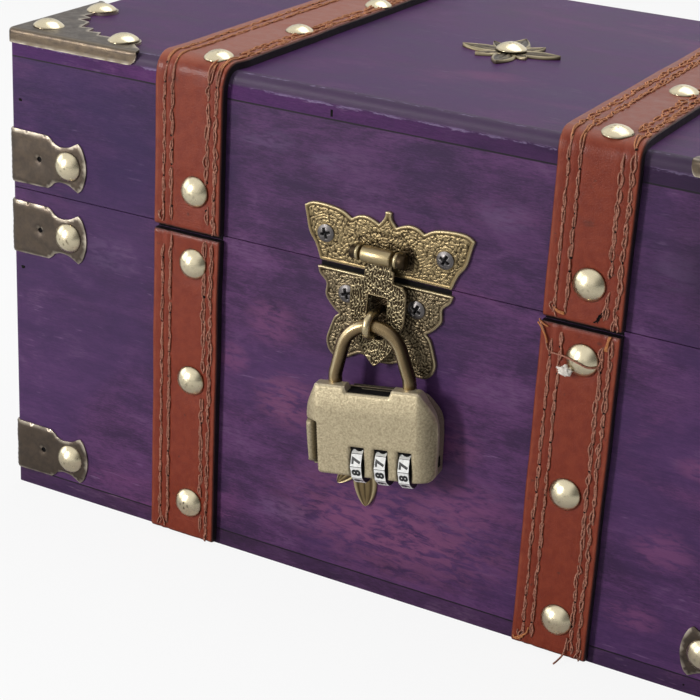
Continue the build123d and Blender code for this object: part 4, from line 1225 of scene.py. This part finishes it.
for side in (-1, 1):
    near, far = PIN_X + side * 5.95, PIN_X + side * 8.15
    points, faces = turned(KNUCKLE + KNUCKLE_ENDS[side], np.array([near, PIN_Y, PIN_Z]), (side, 0, 0), 28)
    # Painted light: a ring by the barrel bright as a highlight, the rest out to the end dark as shade
    away = (points[:, 0] - near) * side
    edge = 0.9 * fade(away, 0.8, 1.1) * smooth(away, 0.0, 0.2)
    shape.add(points, faces, edge=edge, low=0.95 * smooth(away, 0.9, 1.2))
    low, high = min(near, far) + 0.05, max(near, far) - 0.05
    box(shape, (low, 0.9, PIN_Z - 2.1), (high, 3.9, PIN_Z + 2.1), front_block, edge=0.2)
shape.piece("hasp_upper", relief, "lid", "antique_brass", "hasp_lid_plate")

# The lower plate
base_side = [(23.4, 109.3), (22.6, 106.9), (20.2, 104.4), (20.3, 101.2), (19.8, 99.5)]
base_side += [(18.3, 97.6), (16.7, 96.1), (15.2, 95.1)]
base_lobe = [(15.2, 95.1), (16.9, 93.3), (18.5, 88.7), (19.2, 85.6), (18.4, 82.6), (16.5, 80.7)]
base_lobe += [(13.4, 80.3), (10.4, 81.6), (7.0, 83.4), (3.5, 82.4), (0.01, 82.0)]
base_sides = [through(base_side, 5), through(base_lobe, 6)[1:]]
base_half = np.concatenate([[(0.01, 109.5), (22.6, 109.5)], *base_sides])
base_loop = mirrored(base_half) + (HASP_X, 0)
base_screws = [(HASP_X - 12.4, 102.5), (HASP_X + 11.8, 102.7)]
shape = Shape()
lower_ground = pressed(5, 1.75, 1.0, 1.2, (0.25, 0.80), 0.9, base_screws, frame=0.7, dull=0.6)
plate(shape, [base_loop], 0.21, with_shadow(lower_ground), front_place)
shape.piece("hasp_lower", relief, "base", "antique_brass", "hasp_base_plate")


def screws(name, spots, place, body, node, out):
    """Low round screw heads with a cross."""
    shape = Shape()
    circle = arc((0.0, 0.0), 2.85, 0, 351, 40)
    for n, (x0, y0) in enumerate(spots):
        turn = (0.35, 1.1)[n % 2]

        def height(x, y, d):
            """A bowl that falls with the squared distance from its middle, less a cross of two bars."""
            a, b = x - x0, y - y0
            a, b = a * math.cos(turn) + b * math.sin(turn), -a * math.sin(turn) + b * math.cos(turn)
            arm = np.minimum(np.abs(a), np.abs(b))
            far = np.maximum(np.abs(a), np.abs(b))
            cross = fade(arm, 0.32, 0.50) * fade(far, 1.55, 1.85)
            bowl = 1.05 * (1 - (np.hypot(a, b) / 2.9) ** 2 * 0.75)
            return out + bowl - 0.8 * cross, {"low": np.clip(cross * 1.2, 0, 1)}

        plate(shape, [circle + (x0, y0)], 0.22, height, place, foot=out - 0.2)
    shape.piece(name, screw_grey, body, "screw_steel", node)


screws("screws_upper", lid_screws, front_place, "lid", "hasp_lid_screws", 1.5)
screws("screws_lower", base_screws, front_place, "base", "hasp_base_screws", 1.5)

# Flap: a slotted tongue under its barrel
shoulder = [(8.3, 110.1), (9.5, 108.0), (9.6, 104.5), (9.55, 101.0), (9.3, 98.0), (8.3, 95.2)]
heart = [
    (8.3, 95.2), (6.2, 93.4), (5.6, 92.1), (6.1, 90.3), (5.7, 88.5), (4.1, 86.2), (2.4, 84.3), (1.0, 82.9),
    (0.01, 82.1)
]
flap_top = [(0.01, 118.0), (4.1, 118.0), (4.1, 114.6), (5.0, 114.2), (5.0, 110.6)]
flap_half = np.concatenate([flap_top, through(shoulder, 5), through(heart, 5)[1:]])
flap_loop = mirrored(flap_half) + (HASP_X, 0)
slot_foot = through([(3.3, 94.0), (3.0, 92.4), (1.8, 91.5), (0.01, 91.3)], 5)
slot_half = np.concatenate([[(0.01, 105.4), (3.0, 105.4), (3.3, 105.1), (3.3, 94.0)], slot_foot[1:]])
slot_loop = mirrored(slot_half)[::-1] + (HASP_X, 0)
FLAP_BACK = 4.3


def flap_place(x, z, out):
    """A spot before the front, over the gap that the flap leaves behind it."""
    return front_place(x, z, out + FLAP_BACK - 0.2)


shape = Shape()
flap_ground = pressed(9, 1.6, 0.3, 1.0, (0.45, 1.0), 0.95, raised=True, bright=0.2, dull=0.4)
plate(shape, [flap_loop, slot_loop], 0.18, flap_ground, flap_place, back=True, foot=0.2)
barrel = [(0.0, -5.2), (1.05, -5.2), (2.2, -5.2), (2.5, -5.0), (2.62, -4.7), (2.65, 0.0)]
barrel += [(2.62, 4.5), (2.5, 4.8), (2.2, 5.0), (1.05, 5.0), (0.0, 5.0)]
lathe(shape, barrel, np.array([PIN_X, PIN_Y, PIN_Z]), (1, 0, 0), 40, edge=0.42)
shape.piece("hasp_tongue", relief, "flap", "antique_brass", "hasp_flap")

# Padlock, in its own plane: u to the right, v up and w out of the face
YAW, LEAN, ROLL = (math.radians(a) for a in (7.5, 2.6, 5.5))
level_right = np.array([math.cos(YAW), math.sin(YAW), 0])
level_front = np.array([math.sin(YAW), -math.cos(YAW), 0])
lean_up = np.array([0, 0, 1]) * math.cos(LEAN) - level_front * math.sin(LEAN)
LOCK_W = level_front * math.cos(LEAN) + np.array([0, 0, 1]) * math.sin(LEAN)
LOCK_U = level_right * math.cos(ROLL) + lean_up * math.sin(ROLL)
LOCK_V = np.cross(LOCK_W, LOCK_U)
HUNG_Y, HUNG_Z = FRONT - 8.1, 96.8065
LOCK_O = np.array([HASP_X, HUNG_Y, HUNG_Z])


def lock_place(u, v, w):
    """The padlock's origin, plus u, v and w times its three directions."""
    return LOCK_O + np.outer(u, LOCK_U) + np.outer(v, LOCK_V) + np.outer(w, LOCK_W)


lock_top_right = [(0.01, -20.9), (7.0, -20.9), (7.8, -18.9)]
lock_flank = np.concatenate([
    arc((15.2, -20.8), 1.9, 95, 30, 5),
    through([(17.0, -20.1), (19.1, -23.3), (20.7, -26.4), (21.5, -29.6)], 4),
    through([(21.5, -29.6), (21.5, -34.0), (21.2, -39.0), (20.8, -44.5)], 4)[1:],
])
right_foot = arc((18.0, -45.2), 2.8, 0, -80, 6)
left_shoulder = through([(18.1, -20.1), (19.6, -23.3), (20.9, -26.4), (21.5, -29.6)], 4)
lock_flank_left = [arc((17.0, -19.9), 1.0, 95, 25, 5), left_shoulder, lock_flank[lock_flank[:, 1] < -29.7]]
lock_flank_left = np.concatenate(lock_flank_left)
left_foot = np.array(
    [(21.2, -45.4), (20.6, -46.3), (19.4, -46.7), (17.1, -46.7), (16.9, -47.3), (16.3, -47.9), (15.7, -48.0)]
)
DIALS = {"left": -3.5, "middle": 4.3, "right": 12.1}
slots = [(middle - 2.2, middle + 2.2) for middle in DIALS.values()]
SLOT_TOP, LOCK_TOP, SHELL_CUT, FOOT = -38.25, -18.9, -18.8, -48.0


def lock_outline(windows, lower):
    """The body's outline, with the notch or a lower straight top, and the dial windows open at the foot."""
    level = LOCK_TOP - lower
    crown = np.array([(0.01, level)] if lower else lock_top_right)
    flank, flank_left = lock_flank + (0.4, 0), lock_flank_left
    if lower:
        flank, flank_left = (side[side[:, 1] < SHELL_CUT - lower] for side in (flank, flank_left))
        crown = np.concatenate([crown, [(flank[0][0] - 1.5, level)]])
    foot = []
    if windows:
        for low, high in reversed(slots):
            foot += [(high, FOOT), (high, SLOT_TOP), (low, SLOT_TOP), (low, FOOT)]
    right = np.concatenate([crown, flank, right_foot + (0.4, 0)])
    left = np.concatenate([crown, flank_left, left_foot])[::-1] * (-1, 1)
    return np.concatenate([right, np.array(foot).reshape(-1, 2), left])[::-1]


def lock_front(u, v, d):
    """The face: flat in the middle, falling back to both sides and the top, with a grip on the left.

    The fall is a power of the distance past the flat, the grip is half of a round column in a pocket. The
    pocket and the right side are painted dark as shade, and the top edge and a seam line on the right are
    painted bright as highlights.
    """
    reach = 15.6 + 0.6 * smooth(v, -48, -30)
    side = np.clip((np.abs(u) - reach) / (21.4 - reach), 0, 1)
    upper = np.clip((v + 26.5) / 7.7, 0, 1)
    high = 6.0 - 3.5 * side**1.5 - 1.2 * upper**1.4
    high = high - 0.7 + rounded(d, 0.7, 0.7)
    grip = fade(u, -17.1, -16.8) * smooth(v, -46.9, -46.6) * fade(v, -31.3, -30.9)
    column = np.sqrt(np.clip(1 - ((u + 20.4) / 1.65) ** 2, 0, 1))
    button = 0.9 + 2.2 * column * smooth(v, -46.7, -45.0) * fade(v, -33.0, -31.4)
    high = high * (1 - grip) + button * grip
    # Painted shade in the grip's pocket and on the right side, painted highlights on the top edge and the
    # seam
    pocket = grip * np.clip(1.15 - (button - 0.9) / 1.6, 0.25, 1)
    seam = fade(d, 0.12, 0.42) * smooth(u, 18.5, 20.0) * 0.8
    shade = 0.34 * smooth(side, 0.15, 0.8) * (u > 0) * smooth(-v, 22, 30)
    low = np.clip(pocket * 0.88 + shade, 0, 1)
    bright = np.maximum(fade(d, 0.1, 0.5) * smooth(v, -24, -20) * 0.8, seam)
    return np.maximum(high, 0.15), {"low": low, "edge": bright}


def lock_back(u, v, d):
    """The back: a squared fall to the sides, and a long fall towards its top by a power of the distance."""
    side = np.clip((np.abs(u) - 16.0) / 5.4, 0, 1)
    upper = np.clip((v + 27.5) / 7.4, 0, 1)
    high = 6.0 - 0.8 * side**2 - 3.6 * upper**1.2 - 1.2 + rounded(d, 1.2, 1.2)
    return -np.maximum(high, 0.15), {"low": 0.22 * side, "edge": 0.0 * u}


shape = Shape()
plate(shape, [lock_outline(True, 0)], 0.55, lock_front, lock_place, foot=0.15, back=True)
plate(shape, [lock_outline(False, 1.3)], 1.0, lock_back, lock_place, flip=True, foot=-0.15)
# Two darkened strips in the notch at the top: painted shade
box(shape, (-3.2, -20.7, 0.45), (6.4, -20.25, 0.72), lock_place, low=0.75)
box(shape, (-7.0, -20.9, -2.70), (7.0, -20.2, -2.45), lock_place, low=0.85)
shape.piece(
    "padlock_body", lock_brass, "lock_body", "lock_brass", "padlock_front_shell", "padlock_back_shell"
)


def seam_height(u, v, d):
    """The flat filling between the two shells, black as painted shade in the seam."""
    return 0.14 + 0 * u, {}


# Black painted shade inside the padlock: a filling between the shells, the notch's floor, a notch in the
# right side, and the floors and top edges of the dial windows, which shade the dials' tops
shape = Shape()
inner = lock_outline(False, 1.3)
narrower = (inner - (0, -34.0)) * (0.98, 0.985) + (0, -34.0)
plate(shape, [narrower], 3.0, seam_height, lock_place, back=True, foot=-0.14)
box(shape, (-6.9, -21.3, -2.45), (6.9, -20.55, 3.9), lock_place)
box(shape, (21.0, -43.6, -1.0), (21.55, -40.2, 0.6), lock_place)
for low, high in slots:
    box(shape, (low, -47.9, 0.2), (high, SLOT_TOP - 0.02, 0.4), lock_place)
    box(shape, (low, SLOT_TOP - 0.6, 4.0), (high, SLOT_TOP - 0.02, 5.2), lock_place)
shape.piece("padlock_seam", black, "lock_body", None)

# Shackle and staple as round wire on lines and arcs
SHACKLE_WIRE = 2.15
run_up = [(-12.2, -38.4), (-12.2, -28.0)]
run_in = [
    arc((-7.2, -17.1), 5, 180, 164, 5), arc((0, -9.95), 9.95, 164, 16, 30), arc((7.2, -17.1), 5, 16, 0, 5)
]
bow = np.concatenate([run_up, *run_in, [(12.2, -24.4)]])
shape = Shape()
line = lock_place(*bow.T, np.zeros(len(bow)))
tube(shape, line, SHACKLE_WIRE, 32)
# Painted light on the wire: its right side and far left painted darker as shade, a streak left of the middle
# painted bright as a highlight, and the right rim painted bright as rim light
turned_right = (shape.points[0] - np.repeat(line, 32, 0)) @ LOCK_U / SHACKLE_WIRE
shape.values["low"] = [0.85 * smooth(turned_right, 0.0, 0.8) + 0.45 * smooth(-turned_right, 0.6, 1.0)]
shape.values["edge"] = [0.75 * bell(turned_right, -0.38, 0.16) + 0.5 * smooth(turned_right, 0.95, 0.99)]
shape.piece("padlock_bow", smooth_brass, "shackle", "shackle_brass", "padlock_shackle")
LOOP_Z, LOOP_R = HUNG_Z + 0.24, 3.5
legs = [[(FRONT - y, LOOP_Z + side * LOOP_R) for y in ys] for side, ys in ((-1, (1.0, 5.0)), (1, (5.0, 1.0)))]
loop = np.concatenate([legs[0], arc((HUNG_Y, LOOP_Z), LOOP_R, -90, -270, 22), legs[1]])
shape = Shape()
tube(shape, np.column_stack([np.full(len(loop), HASP_X), loop]), 1.25, 24)
# Painted light on the loop: its front painted bright as a highlight, its parts near the plate dark as shade
out = shape.points[0][:, 1]
shape.values["edge"] = [0.6 * fade(out, FRONT - 9.5, FRONT - 6.5)]
shape.values["low"] = [0.8 * smooth(out, FRONT - 8.5, FRONT - 5.5)]
shape.piece("staple_loop", smooth_brass, "base", "antique_brass", "hasp_staple")

# Dials: ten flats with a digit each, between a black wall on both sides
DIAL_V, DIAL_W, DIAL_RADIUS, DIAL_HALF = -44.6, 0.3, 6.8, 1.78


def digit(number):
    """A digit's flat outline as points and faces, from a text curve, with the middle of its box at 0."""
    mark = bpy.data.curves.new("digit", "FONT")
    mark.body = str(number)
    mark.size, mark.resolution_u, mark.offset = 4.3, 3, 0.23
    mark.align_x, mark.align_y = "CENTER", "CENTER"
    text = bpy.data.objects.new("digit", mark)
    bpy.context.scene.collection.objects.link(text)
    bpy.context.view_layer.update()
    flat = text.to_mesh()
    points = np.array([tuple(v.co) for v in flat.vertices])
    faces = [tuple(p.vertices) for p in flat.polygons]
    text.to_mesh_clear()
    bpy.data.objects.remove(text)
    return points - (points.min(0) + points.max(0)) / 2, faces


def dial(name, u0):
    """A dial: ten flats 36 degrees apart with a groove after each and a digit on each.

    A corner at radius r and angle a lies at v plus r sin a and w plus r cos a. A digit lies flat on its side.
    """
    shape, sides, digits = Shape(), Shape(), Shape()
    out = DIAL_RADIUS * math.cos(math.radians(17.2)) + 0.03
    for k in range(10):
        turn = math.radians(36 * k - 14.3)
        angles = turn + np.radians([-17.2, 17.2, 18, 18.8])
        groove = list(zip([DIAL_RADIUS, DIAL_RADIUS, DIAL_RADIUS - 0.16, DIAL_RADIUS], angles))
        for (r0, a0), (r1, a1) in zip(groove[:-1], groove[1:]):
            ends = [(-1, r0, a0), (-1, r1, a1), (1, r1, a1), (1, r0, a0)]
            quad = [
                (u0 + s * DIAL_HALF, DIAL_V + r * math.sin(a), DIAL_W + r * math.cos(a))
                for s, r, a in ends
            ]
            (shape if r0 == r1 else sides).add(lock_place(*np.array(quad).T), [(3, 2, 1, 0)])
        glyph, polys = digit((8 - k) % 10)
        across, along = -glyph[:, 1] * 0.86, glyph[:, 0]
        v = DIAL_V + out * math.sin(turn) + along * math.cos(turn)
        w = DIAL_W + out * math.cos(turn) - along * math.sin(turn)
        digits.add(lock_place(u0 + across, v, w), polys)
    ends = lock_place(np.array([u0 - DIAL_HALF, u0 + DIAL_HALF]), np.full(2, DIAL_V), np.full(2, DIAL_W))
    for s, at in zip((-1, 1), ends):
        lathe(sides, [(6.6, 0.0), (0.0, 0.01)], at, s * LOCK_U, 40)
    body = "dial_" + name
    shape.piece("dial_" + name, white, body, "dial_white", "padlock_dial_" + name, flat=True)
    sides.piece("dial_sides_" + name, ink, body, None, flat=True)
    digits.piece("dial_digits_" + name, ink, body, None, flat=True)


for name, u0 in DIALS.items():
    dial(name, u0)


# Small marks: nail heads, painted shadow in the gaps at the parting, a slit in the top board's edge, loose
# threads, a tear and a tuft of lint
def nails(shape, tilt, *spots):
    """Black nail heads on the front, each a low cone of seven sides. A spot is x, z and a radius."""
    for x, z, r in spots:
        lathe(shape, [(r, 0.0), (r * 0.8, 0.05)], np.array([x, FRONT, z]), (0, -1, tilt), 7)


def threads(name, paint, body, *groups):
    """Loose threads: a tube on a spline before the front for each line. A group is radius, steps, lines."""
    shape = Shape()
    for radius, steps, lines in groups:
        for line in lines:
            tube(shape, front_place(*through(line, steps).T), radius, 6)
    shape.piece(name, paint, body, None)


marks = Shape()
nails(marks, 0.2, (-136.4, 83.0, 0.9), (136.0, 83.0, 0.9), (-61.0, 4.2, 0.4), (112.0, 2.6, 0.4))
# Painted shadow: black strips in the gaps at the parting, behind the hasp plates and the strap ends
for x, half, low in ((HASP_X, 22.5, 109.2), (-STRAP_X, 12.3, 109.7), (STRAP_X, 12.3, 109.7)):
    box(marks, (x - half, 0.0, low), (x + half, 0.05, 110.95), front_block)
marks.piece("nail_marks", black, "base", None)
marks = Shape()
nails(marks, -0.2, (-136.3, 141.6, 0.8), (136.0, 141.0, 0.8))
box(marks, (-19.2, 0.0, 157.1), (-18.4, 0.05, 159.3), front_block)
marks.piece("lid_marks", black, "lid", None)

over = [(55.4, 110.0, 3.2), (57.6, 106.2, 3.6), (59.2, 101.2, 3.4), (63.6, 100.6, 3.6), (66.2, 100.9, 5.2)]
over += [(69.6, 100.6, 6.25), (72.6, 99.5, 5.5), (75.6, 99.4, 3.4)]
end = [(74.6, 8.0, 3.3), (74.3, 4.0, 3.5), (73.9, 1.9, 4.2), (73.2, 0.9, 6.4), (72.7, 0.5, 8.0)]
threads("loose_threads", thread, "base", (0.26, 6, [over]), (0.30, 6, [end]))
ends = [
    [(54.9, 108.9, 2.9), (56.2, 108.0, 3.5), (57.9, 105.6, 3.7), (58.6, 103.4, 3.5)],
    [(55.2, 109.9, 2.6), (56.6, 109.2, 3.5), (58.4, 108.4, 3.4)],
    [(57.0, 2.2, 3.2), (58.8, 3.4, 3.5), (61.0, 5.2, 3.5), (61.6, 7.4, 3.3)],
    [(56.6, 3.0, 3.1), (58.0, 2.4, 3.5), (60.2, 3.8, 3.4)],
]
fringe = [
    [(77.2 + 0.3 * n, 109.6, 3.0), (76.9 + 0.2 * n, 107.5, 3.35), (76.3 + 0.4 * n, 104.9, 3.2)]
    for n in range(3)
]
threads("frayed_ends", frayed, "base", (0.27, 6, ends), (0.22, 5, fringe))
fringe = [
    [(59.4, 114.2 + 0.3 * n, 3.1), (61.0, 113.6 + 0.25 * n, 3.35), (62.9, 113.2 + 0.3 * n, 3.15)]
    for n in range(3)
]
threads("frayed_lid", frayed, "lid", (0.22, 5, fringe))
shape = Shape()
tears = [
    [(75.6, 118.4, 2.9), (74.8, 116.6, 3.12), (73.6, 115.2, 3.12), (72.9, 113.4, 3.1), (71.9, 112.6, 2.9)],
    [(75.0, 116.0, 2.95), (73.8, 114.6, 3.15), (73.2, 112.7, 2.9)],
]
for tear in tears:
    line = through(tear, 6)
    wide = [0.15] + [0.34 + 0.16 * math.sin(k * 1.9) for k in range(len(line) - 2)] + [0.1]
    tube(shape, front_place(*line.T), wide, 6, 0.5)
shape.piece("lid_tear", black, "lid", None)

# The tuft: a ball squashed to a lump by winding waves, with six short threads round it
TUFT_X, TUFT_Z, TURNS, RISES = 65.6, 96.6, 30, 18
turn = np.linspace(0, 2 * np.pi, TURNS, endpoint=False)
turn, rise = np.meshgrid(turn, np.linspace(0.02, np.pi - 0.02, RISES), indexing="ij")
lump = 1 + 0.16 * winding(turn * 2.0, rise * 3.0, 1.9, 5) * np.sin(rise)
lump = lump + 0.1 * np.sin(turn * 5) * np.sin(rise) ** 2
lump_x = TUFT_X + 2.0 * lump * np.sin(rise) * np.cos(turn)
lump_z = TUFT_Z + 1.5 * lump * np.sin(rise) * np.sin(turn)
ball = np.stack([lump_x, lump_z, 5.0 + 1.1 * lump * np.cos(rise)])
shape = Shape()
wrap = [
    (a * RISES + k, (a + 1) % TURNS * RISES + k, (a + 1) % TURNS * RISES + k + 1, a * RISES + k + 1)
    for a in range(TURNS)
    for k in range(RISES - 1)
]
shape.add(front_place(*ball.reshape(3, -1)), wrap)
for n in range(6):
    start = random.uniform(0, 6.28)
    tuft = []
    for r in (1.2, 1.8, 2.5):
        angle = start + r * 0.2
        tuft.append((TUFT_X + r * math.cos(angle), TUFT_Z + r * 0.8 * math.sin(angle), 4.6 - r * 0.12))
    tube(shape, front_place(*through(tuft, 4).T), 0.12, 5)
shape.piece("lint", lint, "base", None)


# Camera, from the fit of the box's edges and tacks
def aim(position, yaw, pitch, roll, focal):
    """The camera: it looks along the cosines and sines of yaw and pitch, rolled about that line.

    position is in millimetres, the angles in radians and focal in dots of a picture 700 dots wide.
    """
    forward = np.array([-math.sin(yaw) * math.cos(pitch), math.cos(yaw) * math.cos(pitch), math.sin(pitch)])
    right = np.array([math.cos(yaw), math.sin(yaw), 0])
    up = np.cross(right, forward)
    right, up = right * math.cos(roll) + up * math.sin(roll), -right * math.sin(roll) + up * math.cos(roll)
    data = bpy.data.cameras.new("camera")
    camera = bpy.data.objects.new("camera", data)
    bpy.context.scene.collection.objects.link(camera)
    matrix = Matrix.Identity(4)
    for row in range(3):
        matrix[row][:] = (right[row], up[row], -forward[row], position[row] * MM)
    camera.matrix_world = matrix
    data.sensor_width = 36.0
    data.lens = focal / 700.0 * data.sensor_width
    data.clip_start, data.clip_end = 0.02, 20.0
    bpy.context.scene.camera = camera


aim((243.47, -567.84, 312.33), math.radians(27.583), math.radians(-22.846), math.radians(3.093), 1877.1)


# Light: plain white for the camera and in gloss, darker on the right, a soft grey sky and three soft lamps
class Sky(Paint):
    """The world's nodes, built as a material's are."""

    def __init__(self):
        self.world = bpy.data.worlds.new("studio")
        bpy.context.scene.world = self.world
        self.world.use_nodes = True
        self.tree = self.world.node_tree
        self.tree.nodes.clear()


sky = Sky()
ray = [
    sky.node("ShaderNodeLightPath", kind)
    for kind in ("Is Camera Ray", "Is Glossy Ray", "Is Transmission Ray")
]
way = sky.node("ShaderNodeTexCoord", "Generated")


def facing(direction):
    """How far a ray goes along a direction: the dot product of the two."""
    return sky.node(
        "ShaderNodeVectorMath", "Value", {"operation": "DOT_PRODUCT"}, Vector=way, Vector_1=direction
    )


to_right, behind = facing((0.97, -0.10, -0.10)), facing((-0.62, 0.75, 0.23))
shade = (1.0 - to_right.step(0.25, 0.85) * 0.82) * (1.0 - behind.step(0.93, 0.995) * 0.30)
gloss = sky.node("ShaderNodeBackground", 0, {}, Color=[1, 1, 1], Strength=shade)
plain = sky.node("ShaderNodeBackground", 0, {}, Color=[1, 1, 1], Strength=1.0)
soft = sky.node("ShaderNodeBackground", 0, {}, Color=[0.93, 0.96, 1.0], Strength=0.29)
mirror = ray[1].math("MAXIMUM", ray[2])
seen = sky.node("ShaderNodeMixShader", 0, {}, Fac=mirror, Shader=soft, Shader_1=gloss)
out = sky.node("ShaderNodeMixShader", 0, {}, Fac=ray[0], Shader=seen, Shader_1=plain)
sky.tree.links.new(out.socket, sky.tree.nodes.new("ShaderNodeOutputWorld").inputs["Surface"])


def lamp(name, position, target, size, watts, colour=(1, 1, 1)):
    """A soft rectangular lamp that looks from its place to a target, both in metres."""
    data = bpy.data.lights.new(name, "AREA")
    data.shape = "RECTANGLE"
    data.size, data.size_y = size
    data.energy = watts
    data.color = colour
    made = bpy.data.objects.new(name, data)
    bpy.context.scene.collection.objects.link(made)
    made.location = position
    made.rotation_mode = "QUATERNION"
    made.rotation_quaternion = (Vector(target) - Vector(position)).to_track_quat("-Z", "Y")


lamp("window", (-0.72, -1.18, 0.46), (0.0, -0.05, 0.08), (0.20, 0.5), 12.2, (1.0, 0.985, 0.96))
lamp("left_side", (-1.2, -0.45, 0.5), (0.0, 0.0, 0.08), (0.7, 0.7), 2.4)
lamp("overhead", (0.1, 0.35, 1.15), (0.0, 0.0, 0.1), (1.0, 0.8), 5.0)

floor_paint = Paint("floor", [0.86, 0.86, 0.86], 0.9, specular=0.0)
glow = floor_paint.node("ShaderNodeEmission", 0, {}, Color=[1, 1, 1], Strength=1.0)
camera_ray = floor_paint.node("ShaderNodeLightPath", "Is Camera Ray")
lit = Wire(floor_paint.tree, floor_paint.shader.outputs[0])
either = floor_paint.node("ShaderNodeMixShader", 0, {}, Fac=camera_ray * 0.88, Shader=lit, Shader_1=glow)
floor_paint.tree.links.new(either.socket, floor_paint.tree.nodes["Material Output"].inputs["Surface"])
FLOOR_HALF, FLOOR_Z = 4, -0.0002
corners = [(x * FLOOR_HALF, y * FLOOR_HALF, FLOOR_Z) for x, y in ((-1, -1), (1, -1), (1, 1), (-1, 1))]
ground = bpy.data.meshes.new("floor")
ground.from_pydata(corners, [], [(0, 1, 2, 3)])
ground.materials.append(floor_paint.material)
floor = bpy.data.objects.new("floor", ground)
bpy.context.scene.collection.objects.link(floor)

bpy.context.scene.view_settings.view_transform = "Standard"
